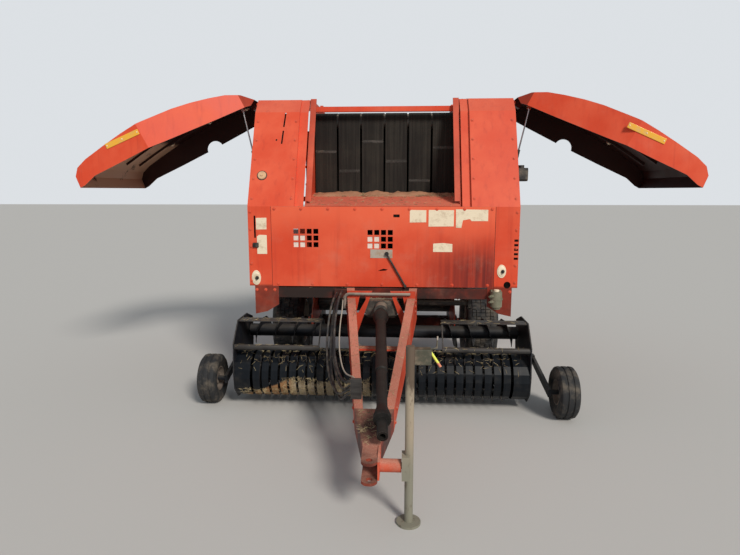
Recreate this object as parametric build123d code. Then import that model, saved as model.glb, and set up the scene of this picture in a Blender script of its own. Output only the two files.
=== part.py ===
from build123d import *
import math
import os

# Round baler with its two side doors raised and its tongue on the parking jack, in millimetres.
# X points to the machine's own left, Y points to its rear and Z up. The ground is Z = 0.

# Chamber and body widths, each a half width from the middle plane
CHAMBER_HALF = 585.0
WALL = 8.0
HOOD_HALF = 845.0
BODY_HALF = 1025.0
PILLAR_INNER = 668.0
POST_INNER = 601.0
SHEET = 4.0
WALL_OUT = CHAMBER_HALF + WALL

# Front of the body
FRONT_Y = -200.0
HOOD_BOTTOM = 890.0
HOOD_TOP = 1500.0
PILLAR_FOLD = (130.0, 2235.0)
PILLAR_TOP = (240.0, 2345.0)
WALL_TOP = 2350.0
ROOF_REAR = 896.0

# Running gear
AXLE_Y = 780.0
AXLE_Z = 390.0
TYRE_RADIUS = 390.0
WHEEL_X = 872.0
RIM_RADIUS = 205.0
AXLE_BEAM = 100.0

# Hitch and tongue
CROSS_TUBE = 80.0
CROSS_TUBE_BOTTOM = 800.0
# (Y, middle X, width, bottom Z, top Z) of a tongue beam's rear and front ends
TONGUE_REAR = (FRONT_Y + SHEET, 240.0, 60.0, 640.0, 880.0)
TONGUE_FRONT = (-1400.0, 88.0, 50.0, 262.0, 395.0)
NOSE_FRONT_Y = -1760.0
HITCH_HALF = 40.0
HITCH_PIN_Y = -1900.0
HITCH_PIN_RADIUS = 16.5
JAW_THICK = 15.0
JAW_LOW = 225.0
JAW_HIGH = 325.0
JACK_X = 192.0
JACK_Y = -1870.0
JACK_RADIUS = 21.0
JACK_TOP = 900.0
JACK_PIVOT_Z = 300.0

# Pickup
REEL_Y = -345.0
REEL_Z = 245.0
BAND_RADIUS = 165.0
BAND_PITCH = 68.0
BAND_WIDTH = 50.0
BAND_COUNT = 28
BAND_THICK = 4.0
TINE_RADIUS = 220.0
TINE_WIRE = 6.0
TINE_BARS = 4
LIFT_Y = 120.0
LIFT_Z = 560.0
END_PLATE_X = BODY_HALF + 55.0
AUGER_Y = -40.0
AUGER_Z = 500.0
AUGER_RADIUS = 112.0
AUGER_TUBE = 50.0
# (X, Y) of the gauge wheels on the left and on the right
GAUGE_PLACES = [(END_PLATE_X + 245.0, -500.0), (END_PLATE_X + 222.0, -330.0)]
GAUGE_RADIUS = 185.0
GAUGE_WIDTH = 150.0

# Tailgate hinge and side door hinges
GATE_Y = 960.0
GATE_Z = 2375.0
DOOR_X = BODY_HALF + 15.0
DOOR_Z = 2320.0
DOOR_DROP = 28.0
DOOR_LONG = 1450.0
DOOR_REAR = 900.0
DOOR_SHEET = 4.0

# Running clearances: along a pin, round a pin, and between a belt and its rollers
SIDE_PLAY = 1.5
PIN_PLAY = 0.3
BELT_PLAY = 0.5

NODES = {}


def node(name, *solids):
    """Keep the solids of one named piece."""
    kept = []
    for shape in solids:
        kept += shape.solids()
    NODES[name] = kept


def box(x, y, z):
    """A block from its low and high X, Y and Z."""
    middle = Pos((x[0] + x[1]) / 2, (y[0] + y[1]) / 2, (z[0] + z[1]) / 2)
    return middle * Box(x[1] - x[0], y[1] - y[0], z[1] - z[0])


def plate_x(outline, x):
    """An outline of (Y, Z) points, thickened from one X to another."""
    face = make_face(Polyline(*outline, close=True))
    return extrude(Plane.YZ.offset(x[0]) * face, x[1] - x[0])


def plate_y(outline, y):
    """An outline of (X, Z) points, thickened from one Y to another."""
    face = make_face(Polyline(*outline, close=True))
    return extrude(Plane.XZ.offset(-y[1]) * face, y[1] - y[0])


def rod(start, end, radius, bore=0.0):
    """A round bar, or a tube with a bore, between two points."""
    line = Vector(*end) - Vector(*start)
    place = Plane(origin=start, z_dir=line)
    face = Circle(radius)
    if bore:
        face = face - Circle(bore)
    return extrude(place * face, line.length)


def rod_x(y, z, x, radius, bore=0.0):
    """A round bar or tube along X."""
    return rod((x[0], y, z), (x[1], y, z), radius, bore)


def spun_x(profile, y, z, x=0.0):
    """A profile of (X, radius) points, spun about an axis along X."""
    face = make_face(Polyline(*profile, close=True))
    return Pos(x, y, z) * revolve(face, Axis.X, 360)


def bent_sheet(line, thick, x):
    """A sheet along (Y, Z) points, its thickness on the left of the way they run, from one X to another."""
    wire = Polyline(*line)
    face = make_face(offset(wire, amount=thick, side=Side.LEFT))
    return extrude(Plane.YZ.offset(x[0]) * face, x[1] - x[0])


def other_side(shapes):
    """The same pieces on the machine's right."""
    return [mirror(shape, about=Plane.YZ) for shape in shapes]


def loop_outline(circles, grow):
    """The closed line round circles of (Y, Z, radius), listed anticlockwise, each grown by the same amount."""
    count = len(circles)
    normals = []
    for i in range(count):
        y0, z0, r0 = circles[i]
        y1, z1, r1 = circles[(i + 1) % count]
        length = math.hypot(y1 - y0, z1 - z0)
        along = ((y1 - y0) / length, (z1 - z0) / length)
        turn = math.asin((r0 - r1) / length)
        side = (along[1], -along[0])
        normals.append(tuple(side[k] * math.cos(turn) + along[k] * math.sin(turn) for k in range(2)))
    edges = []
    for i in range(count):
        y, z, r = circles[i]
        r += grow
        before, after = normals[i - 1], normals[i]
        middle = Vector(before[0] + after[0], before[1] + after[1]).normalized()
        start = (y + r * before[0], z + r * before[1])
        end = (y + r * after[0], z + r * after[1])
        following = circles[(i + 1) % count]
        reach = following[2] + grow
        next_start = (following[0] + reach * after[0], following[1] + reach * after[1])
        edges.append(ThreePointArc(start, (y + r * middle.X, z + r * middle.Y), end))
        edges.append(Line(end, next_start))
    return make_face(edges)


def loop_belt(circles, thick, x):
    """A flat belt round circles of (Y, Z, radius), from one X to another."""
    face = loop_outline(circles, BELT_PLAY + thick) - loop_outline(circles, BELT_PLAY)
    return extrude(Plane.YZ.offset(x[0]) * face, x[1] - x[0])


# Chamber side walls: flat plates with a front flange, channel ribs outside and a lug for the pickup's lift pin
WALL_OUTLINE = [
    (-116, 780), (-116, 884), (-150, 884), (-150, 1500), (230, WALL_TOP), (952, WALL_TOP), (1052, 560),
    (300, 480), (180, 520), (180, 780)]
WALL_FLANGE = [(-132, 1540), (-120, 1540), (242, WALL_TOP), (230, WALL_TOP)]
FLANGE_WIDE = 38.0
RIB_DEEP = 55.0
# (front Y, rear Y, bottom Z, top Z) of each channel rib
WALL_RIBS = [(-150, -100, 884, 1480), (262, 302, 880, 2100), (560, 620, 880, WALL_TOP), (890, 935, 880, 2250)]
LIFT_LUG = [(180, 540), (180, 680), (150, 680), (80, 600), (80, 520), (150, 500)]
LIFT_PIN = 18.0
GATE_PIN = 16.0
GATE_LUG = 12.0
# (radius, how far it stands out) of a bearing's flange and of its cap
BEARING = (48.0, 14.0)
BEARING_CAP = (26.0, 24.0)
# (Y, Z, radius) of each front roller
TOP_FRONT = (400, 2190, 60)
TOP_REAR = (830, 2240, 60)
LOW_FRONT = (390, 800, 65)
FLOOR_FRONT = (480, 640, 85)
FLOOR_REAR = (760, 565, 70)
WALL_BEARINGS = [TOP_FRONT, TOP_REAR, FLOOR_FRONT]


def bearing(y, z):
    """A flanged bearing with its cap on the outside of a left wall."""
    flange = rod_x(y, z, (WALL_OUT, WALL_OUT + BEARING[1]), BEARING[0])
    return flange + rod_x(y, z, (WALL_OUT, WALL_OUT + BEARING_CAP[1]), BEARING_CAP[0])


def side_wall():
    wall = plate_x(WALL_OUTLINE, (CHAMBER_HALF, WALL_OUT))
    wall += plate_x(WALL_FLANGE, (CHAMBER_HALF - FLANGE_WIDE, CHAMBER_HALF))
    for front, rear, low, high in WALL_RIBS:
        wall += box((WALL_OUT, WALL_OUT + RIB_DEEP), (front, rear), (low, high))
    lug = plate_x(LIFT_LUG, (CHAMBER_HALF, WALL_OUT))
    wall += lug
    wall += rod_x(LIFT_Y, LIFT_Z, (CHAMBER_HALF, WALL_OUT + 30), LIFT_PIN)
    ear = [(GATE_Y - 60, WALL_TOP - 70), (GATE_Y - 14, WALL_TOP - 70), (GATE_Y + 30, GATE_Z - 20),
           (GATE_Y + 30, GATE_Z + 25), (GATE_Y - 30, GATE_Z + 25)]
    wall += plate_x(ear, (WALL_OUT, WALL_OUT + GATE_LUG))
    for y, z, radius in WALL_BEARINGS:
        wall += bearing(y, z)
    wall += rod_x(GATE_Y, GATE_Z, (WALL_OUT, WALL_OUT + 3 * GATE_LUG), GATE_PIN)
    return wall


left_wall = side_wall()
node("side_wall_left", left_wall)
node("side_wall_right", *other_side([left_wall]))

# Main frame: axle beam, stub axles, the plates that carry the walls, side rails and the front cross tube
AXLE_PLATE = 14.0
RAIL = (60.0, 80.0)
STUB_RADIUS = 38.0
STUB_END = 62.0
CROSS_Y = (FRONT_Y + SHEET, FRONT_Y + SHEET + CROSS_TUBE)
CROSS_Z = (CROSS_TUBE_BOTTOM, CROSS_TUBE_BOTTOM + CROSS_TUBE)
CYL_X = WALL_OUT + 97.0
CYL_BASE = (508.0, 1355.0)
CYL_EYE = (GATE_Y + 190.0, WALL_TOP - 95.0)
EYE_PIN = 14.0
EYE_WIDE = 40.0

frame = box((-WALL_OUT - AXLE_PLATE, WALL_OUT + AXLE_PLATE),
            (AXLE_Y - AXLE_BEAM / 2, AXLE_Y + AXLE_BEAM / 2), (AXLE_Z - AXLE_BEAM / 2, AXLE_Z + AXLE_BEAM / 2))
frame += box((-BODY_HALF + 40, BODY_HALF - 40), CROSS_Y, CROSS_Z)
for side in (-1, 1):
    inner, outer = side * WALL_OUT, side * (WALL_OUT + AXLE_PLATE)
    low, high = min(inner, outer), max(inner, outer)
    frame += plate_x([(AXLE_Y - 150, AXLE_Z - 50), (AXLE_Y + 150, AXLE_Z - 50), (AXLE_Y + 240, CROSS_Z[0]),
                      (AXLE_Y - 260, CROSS_Z[0])], (low, high))
    rail = sorted((side * WALL_OUT, side * (WALL_OUT + RAIL[0])))
    frame += box(rail, (CROSS_Y[1], AXLE_Y + 240), (CROSS_Z[0], CROSS_Z[0] + RAIL[1]))
    stub = sorted((side * (WALL_OUT + AXLE_PLATE), side * (WHEEL_X + STUB_END)))
    frame += rod_x(AXLE_Y, AXLE_Z, stub, STUB_RADIUS)
node("main_frame", frame)

# Wheels: a tyre, and a dished rim with its hub, on a stub axle
TYRE_PROFILE = [
    (-104, TYRE_RADIUS), (104, TYRE_RADIUS), (140, 345), (132, 262), (104, RIM_RADIUS), (-104, RIM_RADIUS),
    (-132, 262), (-140, 345)]
HUB_BORE = STUB_RADIUS + PIN_PLAY
RIM_PROFILE = [
    (-104, RIM_RADIUS - 1), (-104, RIM_RADIUS - 10), (20, RIM_RADIUS - 16), (28, 110), (28, 78), (-56, 78),
    (-56, HUB_BORE), (STUB_END + 2, HUB_BORE), (STUB_END + 2, 0), (STUB_END + 14, 0), (STUB_END + 12, 34),
    (60, 46), (60, 70), (40, 78), (40, 112), (34, RIM_RADIUS - 12), (104, RIM_RADIUS - 10),
    (104, RIM_RADIUS - 1)]
left_tyre = spun_x(TYRE_PROFILE, AXLE_Y, AXLE_Z, WHEEL_X)
left_rim = spun_x(RIM_PROFILE, AXLE_Y, AXLE_Z, WHEEL_X)
node("main_tyre_left", left_tyre)
node("main_rim_left", left_rim)
node("main_tyre_right", *other_side([left_tyre]))
node("main_rim_right", *other_side([left_rim]))

# Front panels: a bent strip that leans back as a pillar, with edge returns and the skirt below it
PILLAR_LINE = [(FRONT_Y, HOOD_TOP), PILLAR_FOLD, PILLAR_TOP]
STRIP_LINE = [(FRONT_Y, HOOD_BOTTOM), (FRONT_Y, HOOD_TOP)]
STRIP_INNER = HOOD_HALF + 3.0
SKIRT = (800.0, BODY_HALF - 40.0)
SKIRT_BOTTOM = 668.0
SKIRT_NOTCH = 745.0
# (X, bottom Z, X, top Z) of each sloping slot in the right pillar, its width, and the round hole beside it
PILLAR_SLOTS = [(796.0, 1980.0, 789.0, 2085.0), (788.0, 2115.0, 779.0, 2229.0)]
SLOT_WIDE = 12.0
PILLAR_HOLE = (839.0, 2011.0, 7.0)
RETURN = 45.0
POST_BACK = 24.0


def behind(line, front, rear):
    """The (Y, Z) outline between a line moved rearwards by one distance and by another."""
    return [(y + front, z) for y, z in line] + [(y + rear, z) for y, z in reversed(line)]


def front_panel():
    panel = plate_x(behind(PILLAR_LINE, 0, SHEET), (PILLAR_INNER, BODY_HALF))
    panel += plate_x(behind(STRIP_LINE, 0, SHEET), (STRIP_INNER, BODY_HALF))
    for x in (PILLAR_INNER, BODY_HALF - SHEET):
        panel += plate_x(behind(PILLAR_LINE, 0, RETURN), (x, x + SHEET))
    for x in (STRIP_INNER, BODY_HALF - SHEET):
        panel += plate_x(behind(STRIP_LINE, 0, RETURN), (x, x + SHEET))
    panel += plate_x(behind(PILLAR_LINE, POST_BACK, POST_BACK + SHEET), (POST_INNER, PILLAR_INNER))
    skirt = [(STRIP_INNER, HOOD_BOTTOM + SHEET), (SKIRT[1], HOOD_BOTTOM + SHEET), (SKIRT[1], SKIRT_BOTTOM),
             ((SKIRT[0] + SKIRT[1]) / 2, SKIRT_BOTTOM + 20), (SKIRT[0], SKIRT_NOTCH), (SKIRT[0], HOOD_BOTTOM),
             (STRIP_INNER, HOOD_BOTTOM)]
    panel += plate_y(skirt, (FRONT_Y, FRONT_Y + SHEET))
    return panel


def slotted(panel):
    """A panel with the slots and the hole that only the right pillar has, cut before it is mirrored."""
    for x0, z0, x1, z1 in PILLAR_SLOTS:
        half = SLOT_WIDE / 2
        outline = [(x0 - half, z0), (x0 + half, z0), (x1 + half, z1), (x1 - half, z1)]
        panel -= plate_y(outline, (FRONT_Y, PILLAR_TOP[0]))
    x, z, radius = PILLAR_HOLE
    return panel - rod((x, FRONT_Y, z), (x, PILLAR_TOP[0], z), radius)


left_panel = front_panel()
node("front_panel_left", left_panel)
node("front_panel_right", *other_side([slotted(left_panel)]))

# Hood: the flat lower front cover with two pierced grilles, and the sloping deck behind it
GRILLE_PITCH = 51.0
GRILLE_HOLE = 38.0
GRILLE_COLUMNS = 4
GRILLE_ROWS = 3
# (middle X, middle Z) of each grille
GRILLES = [(-580, 1262), (-14, 1255)]
HOOD_RETURN = 45.0

hood = box((-HOOD_HALF, HOOD_HALF), (FRONT_Y, FRONT_Y + SHEET), (HOOD_BOTTOM, HOOD_TOP))
hood += box((-HOOD_HALF, HOOD_HALF), (FRONT_Y, FRONT_Y + HOOD_RETURN), (HOOD_TOP - SHEET, HOOD_TOP))
hood += box((-HOOD_HALF, HOOD_HALF), (FRONT_Y, FRONT_Y + HOOD_RETURN), (HOOD_BOTTOM, HOOD_BOTTOM + SHEET))
for side in (-1, 1):
    edge = sorted((side * HOOD_HALF, side * (HOOD_HALF - SHEET)))
    hood += box(edge, (FRONT_Y, FRONT_Y + HOOD_RETURN), (HOOD_BOTTOM, HOOD_TOP))
holes = []
for middle_x, middle_z in GRILLES:
    for column in range(GRILLE_COLUMNS):
        for row in range(GRILLE_ROWS):
            x = middle_x + (column - (GRILLE_COLUMNS - 1) / 2) * GRILLE_PITCH
            z = middle_z + (row - (GRILLE_ROWS - 1) / 2) * GRILLE_PITCH
            holes.append(Pos(x, FRONT_Y, z) * Box(GRILLE_HOLE, 6 * SHEET, GRILLE_HOLE))
hood -= holes
node("hood_panel", hood)

DECK_FRONT = (FRONT_Y + 1, HOOD_TOP + 1)
DECK_REAR = (290.0, 1596.0)
deck = bent_sheet([DECK_FRONT, DECK_REAR], SHEET, (-CHAMBER_HALF, CHAMBER_HALF))
node("debris_deck", deck)

# Top crossbar between the walls and the roof sheets beside them
CROSSBAR_Y = 250.0
CROSSBAR_Z = 2252.0
CROSSBAR = 40.0
node("top_crossbar", box((-CHAMBER_HALF, CHAMBER_HALF), (CROSSBAR_Y, CROSSBAR_Y + CROSSBAR),
                         (CROSSBAR_Z, CROSSBAR_Z + CROSSBAR)))
HINGE_PIN = 8.0
HINGE_KNUCKLE = 15.0
HINGE_LONG = 60.0
# front Y of each hinge's pair of knuckles
HINGES = [290.0, 530.0, 770.0]
STRUT_Y = 200.0
STRUT_BASE = (BODY_HALF - 35.0, 1550.0)
STRUT_PIN = 6.0
STRUT_EYE_HALF = 7.0
STRUT_ARM = 40.0


def roof():
    edge = BODY_HALF - 8
    sheet = box((WALL_OUT, edge), (PILLAR_TOP[0] + 50, ROOF_REAR), (WALL_TOP - SHEET, WALL_TOP))
    sheet += box((edge - SHEET, edge), (PILLAR_TOP[0] + 50, ROOF_REAR), (WALL_TOP - 45, WALL_TOP))
    for front in HINGES:
        leaf = box((edge - SHEET, DOOR_X), (front, front + HINGE_LONG - 1), (DOOR_Z - 6, DOOR_Z + 6))
        knuckle = rod((DOOR_X, front, DOOR_Z), (DOOR_X, front + HINGE_LONG - 1, DOOR_Z), HINGE_KNUCKLE)
        pin = rod((DOOR_X, front, DOOR_Z), (DOOR_X, front + 2 * HINGE_LONG, DOOR_Z), HINGE_PIN)
        sheet += leaf + knuckle + pin
    sheet -= box((WALL_OUT, WALL_OUT + RIB_DEEP), (560, 620), (WALL_TOP - SHEET, WALL_TOP))
    x, z = STRUT_BASE
    half = STRUT_ARM / 2
    arm = box((WALL_OUT, x - 18), (STRUT_Y - half, STRUT_Y + half), (z - half, z + half))
    for ear in (-half, half - 5):
        arm += box((x - 18, x + 10), (STRUT_Y + ear, STRUT_Y + ear + 5), (z - 12, z + 12))
    arm += rod((x, STRUT_Y - half, z), (x, STRUT_Y + half, z), STRUT_PIN)
    return [sheet, arm]


left_roof = roof()
node("roof_left", *left_roof)
node("roof_right", *other_side(left_roof))

# Tongue: two tapering beams, gusset plates at their rear, and the nose with its forked hitch
GUSSET = 10.0
GUSSET_Y = -330.0
GUSSET_OUTLINE = [(66, 880), (256, 880), (250, 700), (215, 560), (176, 560)]
# (X, Z, radius) of the teardrop hole's two ends
TEARDROP = [(139.0, 822.0, 25.0), (176.0, 722.0, 9.0)]


def teardrop():
    """The teardrop hole of a gusset plate: two round ends and the wedge between them."""
    (x0, z0, r0), (x1, z1, r1) = TEARDROP
    reach = (GUSSET_Y - GUSSET, GUSSET_Y + 2 * GUSSET)
    length = math.hypot(x1 - x0, z1 - z0)
    across = ((z0 - z1) / length, (x1 - x0) / length)
    wedge = [(x0 + r0 * across[0], z0 + r0 * across[1]), (x1 + r1 * across[0], z1 + r1 * across[1]),
             (x1 - r1 * across[0], z1 - r1 * across[1]), (x0 - r0 * across[0], z0 - r0 * across[1])]
    hole = plate_y(wedge, reach)
    for x, z, radius in TEARDROP:
        hole += rod((x, reach[0], z), (x, reach[1], z), radius)
    return hole


def tongue_beam():
    sections = []
    for y, middle, wide, low, high in (TONGUE_REAR, TONGUE_FRONT):
        face = Pos(middle, y, (low + high) / 2) * (Rot(90, 0, 0) * Rectangle(wide, high - low))
        sections.append(face)
    beam = loft(sections)
    plate = plate_y(GUSSET_OUTLINE, (GUSSET_Y, GUSSET_Y + GUSSET)) - teardrop()
    return beam + plate


left_beam = tongue_beam()
node("tongue_left_beam", left_beam)
node("tongue_right_beam", *other_side([left_beam]))

# Pipe across the front of both gusset plates, bent down at its right end
PIPE_RADIUS = 11.0
PIPE_Y = GUSSET_Y - PIPE_RADIUS - PIN_PLAY
PIPE_Z = TONGUE_REAR[4] - 2 * PIPE_RADIUS
PIPE_DROP_X = -TONGUE_REAR[1] - TONGUE_REAR[2] / 2
PIPE_LINE = [(GUSSET_OUTLINE[1][0] - 40, PIPE_Y, PIPE_Z), (PIPE_DROP_X, PIPE_Y, PIPE_Z),
             (PIPE_DROP_X, PIPE_Y, PIPE_Z - 110)]
pipe_path = FilletPolyline(*PIPE_LINE, radius=3 * PIPE_RADIUS)
pipe_start = Plane(origin=PIPE_LINE[0], z_dir=(-1, 0, 0))
node("cross_pipe", sweep(pipe_start * Circle(PIPE_RADIUS), path=pipe_path))

# Flat brace between the beams, under the driveline
BRACE_Y = (-740.0, -660.0)
BRACE_Z = (540.0, 552.0)
brace = box((-TONGUE_REAR[1], TONGUE_REAR[1]), BRACE_Y, BRACE_Z) - left_beam - other_side([left_beam])[0]
brace = min(brace.solids(), key=lambda piece: abs(piece.center().X))
node("tongue_brace", brace)

NOSE_HALF = TONGUE_FRONT[1] + TONGUE_FRONT[2] / 2
nose_faces = []
for y, half, low, high in ((TONGUE_FRONT[0], NOSE_HALF, TONGUE_FRONT[3], TONGUE_FRONT[4]),
                           (NOSE_FRONT_Y, HITCH_HALF, JAW_LOW, JAW_HIGH + JAW_THICK)):
    nose_faces.append(Pos(0, y, (low + high) / 2) * (Rot(90, 0, 0) * Rectangle(2 * half, high - low)))
nose = loft(nose_faces)
for low in (JAW_LOW, JAW_HIGH):
    jaw = box((-HITCH_HALF, HITCH_HALF), (HITCH_PIN_Y, NOSE_FRONT_Y), (low, low + JAW_THICK))
    jaw += rod((0, HITCH_PIN_Y, low), (0, HITCH_PIN_Y, low + JAW_THICK), HITCH_HALF)
    nose += jaw
nose -= rod((0, HITCH_PIN_Y, JAW_LOW - 5), (0, HITCH_PIN_Y, JAW_HIGH + JAW_THICK + 5), HITCH_PIN_RADIUS)

# Parking jack on the left of the nose: a bracket and pivot plate, and the swinging leg
JACK_PLATE_X = (JACK_X - JACK_RADIUS - 14, JACK_X - JACK_RADIUS - 4)
JACK_PIN = 16.0
node("tongue_nose", nose)
# (Y, Z) round the jack's bracket plate, on the left sides of nose and jaws
JACK_OUTLINE = [
    (NOSE_FRONT_Y + 120, JAW_LOW + 2), (NOSE_FRONT_Y + 120, JAW_HIGH + 13), (JACK_Y + 20, JAW_HIGH + 25),
    (JACK_Y - 40, JAW_HIGH + 10), (JACK_Y - 40, JAW_LOW + 15)]
bracket = plate_x(JACK_OUTLINE, (HITCH_HALF, HITCH_HALF + 10))
bracket += rod_x(JACK_Y, JACK_PIVOT_Z, (HITCH_HALF, JACK_PLATE_X[0] - SIDE_PLAY), 2 * JACK_PIN)
bracket += rod_x(JACK_Y, JACK_PIVOT_Z, (HITCH_HALF, JACK_PLATE_X[1]), JACK_PIN)
bracket -= nose
node("jack_bracket", max(bracket.solids(), key=lambda piece: piece.volume))

leg = rod((JACK_X, JACK_Y, 12), (JACK_X, JACK_Y, JACK_TOP), JACK_RADIUS)
foot = rod((JACK_X, JACK_Y, 0), (JACK_X, JACK_Y, 12), 60)
collar = box((JACK_PLATE_X[0], JACK_X), (JACK_Y - 40, JACK_Y + 40), (JACK_PIVOT_Z - 60, JACK_PIVOT_Z + 60))
collar -= rod_x(JACK_Y, JACK_PIVOT_Z, (JACK_PLATE_X[0] - 5, JACK_PLATE_X[1] + PIN_PLAY), JACK_PIN + PIN_PLAY)
node("jack_leg", leg + foot + collar)

# Gearbox under the cross tube, its cross shaft, and the driveline with its two joints
GEARBOX = ((-120.0, 120.0), (GUSSET_Y + GUSSET + 15.0, -10.0), (665.0, CROSS_TUBE_BOTTOM))
GEARBOX_RIBS = 3
DRIVE_REAR_Y = -430.0
INPUT_Z = 745.0
CROSS_SHAFT_Y = -70.0
CROSS_SHAFT_Z = 745.0
CROSS_SHAFT = 22.0
CHAIN_X = WALL_OUT + 79.0
CHAIN_WIDE = 18.0
gearbox = box(*GEARBOX)
gearbox = chamfer(gearbox.edges().group_by(Axis.Z)[0], 24)
for i in range(GEARBOX_RIBS):
    y = GEARBOX[1][0] + 50 + 65 * i
    rib_z = (GEARBOX[2][0] + 30, GEARBOX[2][1] - 20)
    gearbox += box((GEARBOX[0][0] - 12, GEARBOX[0][1] + 12), (y - 6, y + 6), rib_z)
gearbox += rod((0, DRIVE_REAR_Y, INPUT_Z), (0, GEARBOX[1][0] + 10, INPUT_Z), 50)
gearbox += rod_x(CROSS_SHAFT_Y, CROSS_SHAFT_Z, (GEARBOX[0][1], GEARBOX[0][1] + 60), 48)
gearbox += rod_x(CROSS_SHAFT_Y, CROSS_SHAFT_Z, (GEARBOX[0][1], CHAIN_X + CHAIN_WIDE), CROSS_SHAFT)
node("gearbox", gearbox)

DRIVE_REAR = (0.0, DRIVE_REAR_Y, INPUT_Z)
DRIVE_FRONT = (60.0, -1790.0, 410.0)
YOKE_BORE = 17.5
YOKE_LONG = 95.0
way = (Vector(*DRIVE_FRONT) - Vector(*DRIVE_REAR)).normalized()


def on_drive(distance):
    """The point of the driveline's line at a distance from its rear end."""
    point = Vector(*DRIVE_REAR) + way * distance
    return (point.X, point.Y, point.Z)


DRIVE_LONG = (Vector(*DRIVE_FRONT) - Vector(*DRIVE_REAR)).length
# (distance from the rear end, radius) along the driveline: joint, bell, outer tube, inner tube, bell, yoke
DRIVE_OUTLINE = [
    (0, 0), (0, 34), (60, 34), (70, 56), (95, 56), (175, 36), (800, 36), (806, 30), (DRIVE_LONG - 240, 30),
    (DRIVE_LONG - 160, 48), (DRIVE_LONG - 130, 48), (DRIVE_LONG - 120, 29), (DRIVE_LONG, 29), (DRIVE_LONG, 0)]
drive_place = Plane(origin=DRIVE_REAR, z_dir=way)
drive_face = make_face(Polyline(*[(radius, distance) for distance, radius in DRIVE_OUTLINE], close=True))
driveline = drive_place * revolve(Plane.XZ * drive_face, Axis.Z)
driveline -= rod(on_drive(DRIVE_LONG - YOKE_LONG), on_drive(DRIVE_LONG + 5), YOKE_BORE)
driveline -= box((-200, 200), (DRIVE_REAR[1], 0), (INPUT_Z - 150, INPUT_Z + 150))
node("driveline", driveline)

# Rollers and belts of the chamber's front part
FRONT_ROLLERS = [TOP_FRONT, TOP_REAR, LOW_FRONT, FLOOR_FRONT, FLOOR_REAR]
SHAFT_RADIUS = 22.0
ROLLER_HALF = CHAMBER_HALF - 10.0
ROLLER_WALL = 8.0


def roller(y, z, radius):
    """A closed drum with a stub shaft out to each wall."""
    drum = rod_x(y, z, (-ROLLER_HALF, ROLLER_HALF), radius)
    drum -= rod_x(y, z, (-ROLLER_HALF + 12, ROLLER_HALF - 12), radius - ROLLER_WALL)
    for side in (-1, 1):
        drum += rod_x(y, z, sorted((side * (ROLLER_HALF - 6), side * CHAMBER_HALF)), SHAFT_RADIUS)
    return drum


node("front_rollers", *[roller(*place) for place in FRONT_ROLLERS])

BELT_COUNT = 6
BELT_WIDE = 178.0
BELT_THICK = 8.0
BELT_PITCH = 2 * CHAMBER_HALF / BELT_COUNT


def belts(circles):
    loops = []
    for i in range(BELT_COUNT):
        middle = (i - (BELT_COUNT - 1) / 2) * BELT_PITCH
        loops.append(loop_belt(circles, BELT_THICK, (middle - BELT_WIDE / 2, middle + BELT_WIDE / 2)))
    return loops


node("front_belts", *belts([LOW_FRONT, TOP_REAR, TOP_FRONT]))

# Chain drive on the left: toothed sprockets on the cross shaft and roller shafts, and the two chains round them
# (Y, Z, pitch radius, teeth) of each sprocket
CROSS_SPROCKET = (CROSS_SHAFT_Y, CROSS_SHAFT_Z, 45, 11)
MIDDLE_SPROCKET = (LOW_FRONT[0], LOW_FRONT[1] + 160, 90, 22)
OUTER_SPROCKET = (LOW_FRONT[0], LOW_FRONT[1] + 160, 60, 15)
TOP_SPROCKET = (TOP_FRONT[0], TOP_FRONT[1], 70, 17)
TOOTH = 7.0
TOOTH_WIDE = 8.0
CHAIN_HALF_HIGH = 6.0


def sprocket(place, x):
    """A toothed disc whose teeth stand on its pitch circle."""
    y, z, radius, teeth = place
    outline = []
    for i in range(2 * teeth):
        angle = math.pi * i / teeth
        reach = radius + (TOOTH if i % 2 else -TOOTH)
        outline.append((y + reach * math.cos(angle), z + reach * math.sin(angle)))
    middle = x + CHAIN_WIDE / 2
    return plate_x(outline, (middle - TOOTH_WIDE / 2, middle + TOOTH_WIDE / 2))


def chain(first, second, x):
    """A chain round two sprockets, about their pitch circles."""
    circles = [first[:3], second[:3]]
    face = loop_outline(circles, CHAIN_HALF_HIGH) - loop_outline(circles, -CHAIN_HALF_HIGH)
    return extrude(Plane.YZ.offset(x) * face, CHAIN_WIDE)


OUTER_X = CHAIN_X + CHAIN_WIDE + 8.0
drive = sprocket(CROSS_SPROCKET, CHAIN_X) + sprocket(MIDDLE_SPROCKET, CHAIN_X)
drive += chain(CROSS_SPROCKET, MIDDLE_SPROCKET, CHAIN_X)
drive += sprocket(OUTER_SPROCKET, OUTER_X) + sprocket(TOP_SPROCKET, OUTER_X)
drive += chain(OUTER_SPROCKET, TOP_SPROCKET, OUTER_X)
drive += rod_x(MIDDLE_SPROCKET[0], MIDDLE_SPROCKET[1], (WALL_OUT, OUTER_X + CHAIN_WIDE), SHAFT_RADIUS)
drive += rod_x(TOP_FRONT[0], TOP_FRONT[1], (WALL_OUT + BEARING_CAP[1], OUTER_X + CHAIN_WIDE), SHAFT_RADIUS)
drive -= rod_x(CROSS_SHAFT_Y, CROSS_SHAFT_Z, (CHAIN_X - 20, OUTER_X + 40), CROSS_SHAFT + PIN_PLAY)
node("chain_drive", drive)

# Twine box outside the right wall, open to the side
TWINE = ((-985.0, -WALL_OUT - RIB_DEEP), (250.0, 760.0), (900.0, 1260.0))
twine = box(*TWINE) - box((TWINE[0][0] - 10, TWINE[0][1] - 10), (TWINE[1][0] + SHEET, TWINE[1][1] - SHEET),
                          (TWINE[2][0] + SHEET, TWINE[2][1] - SHEET))
node("twine_box", twine)

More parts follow.
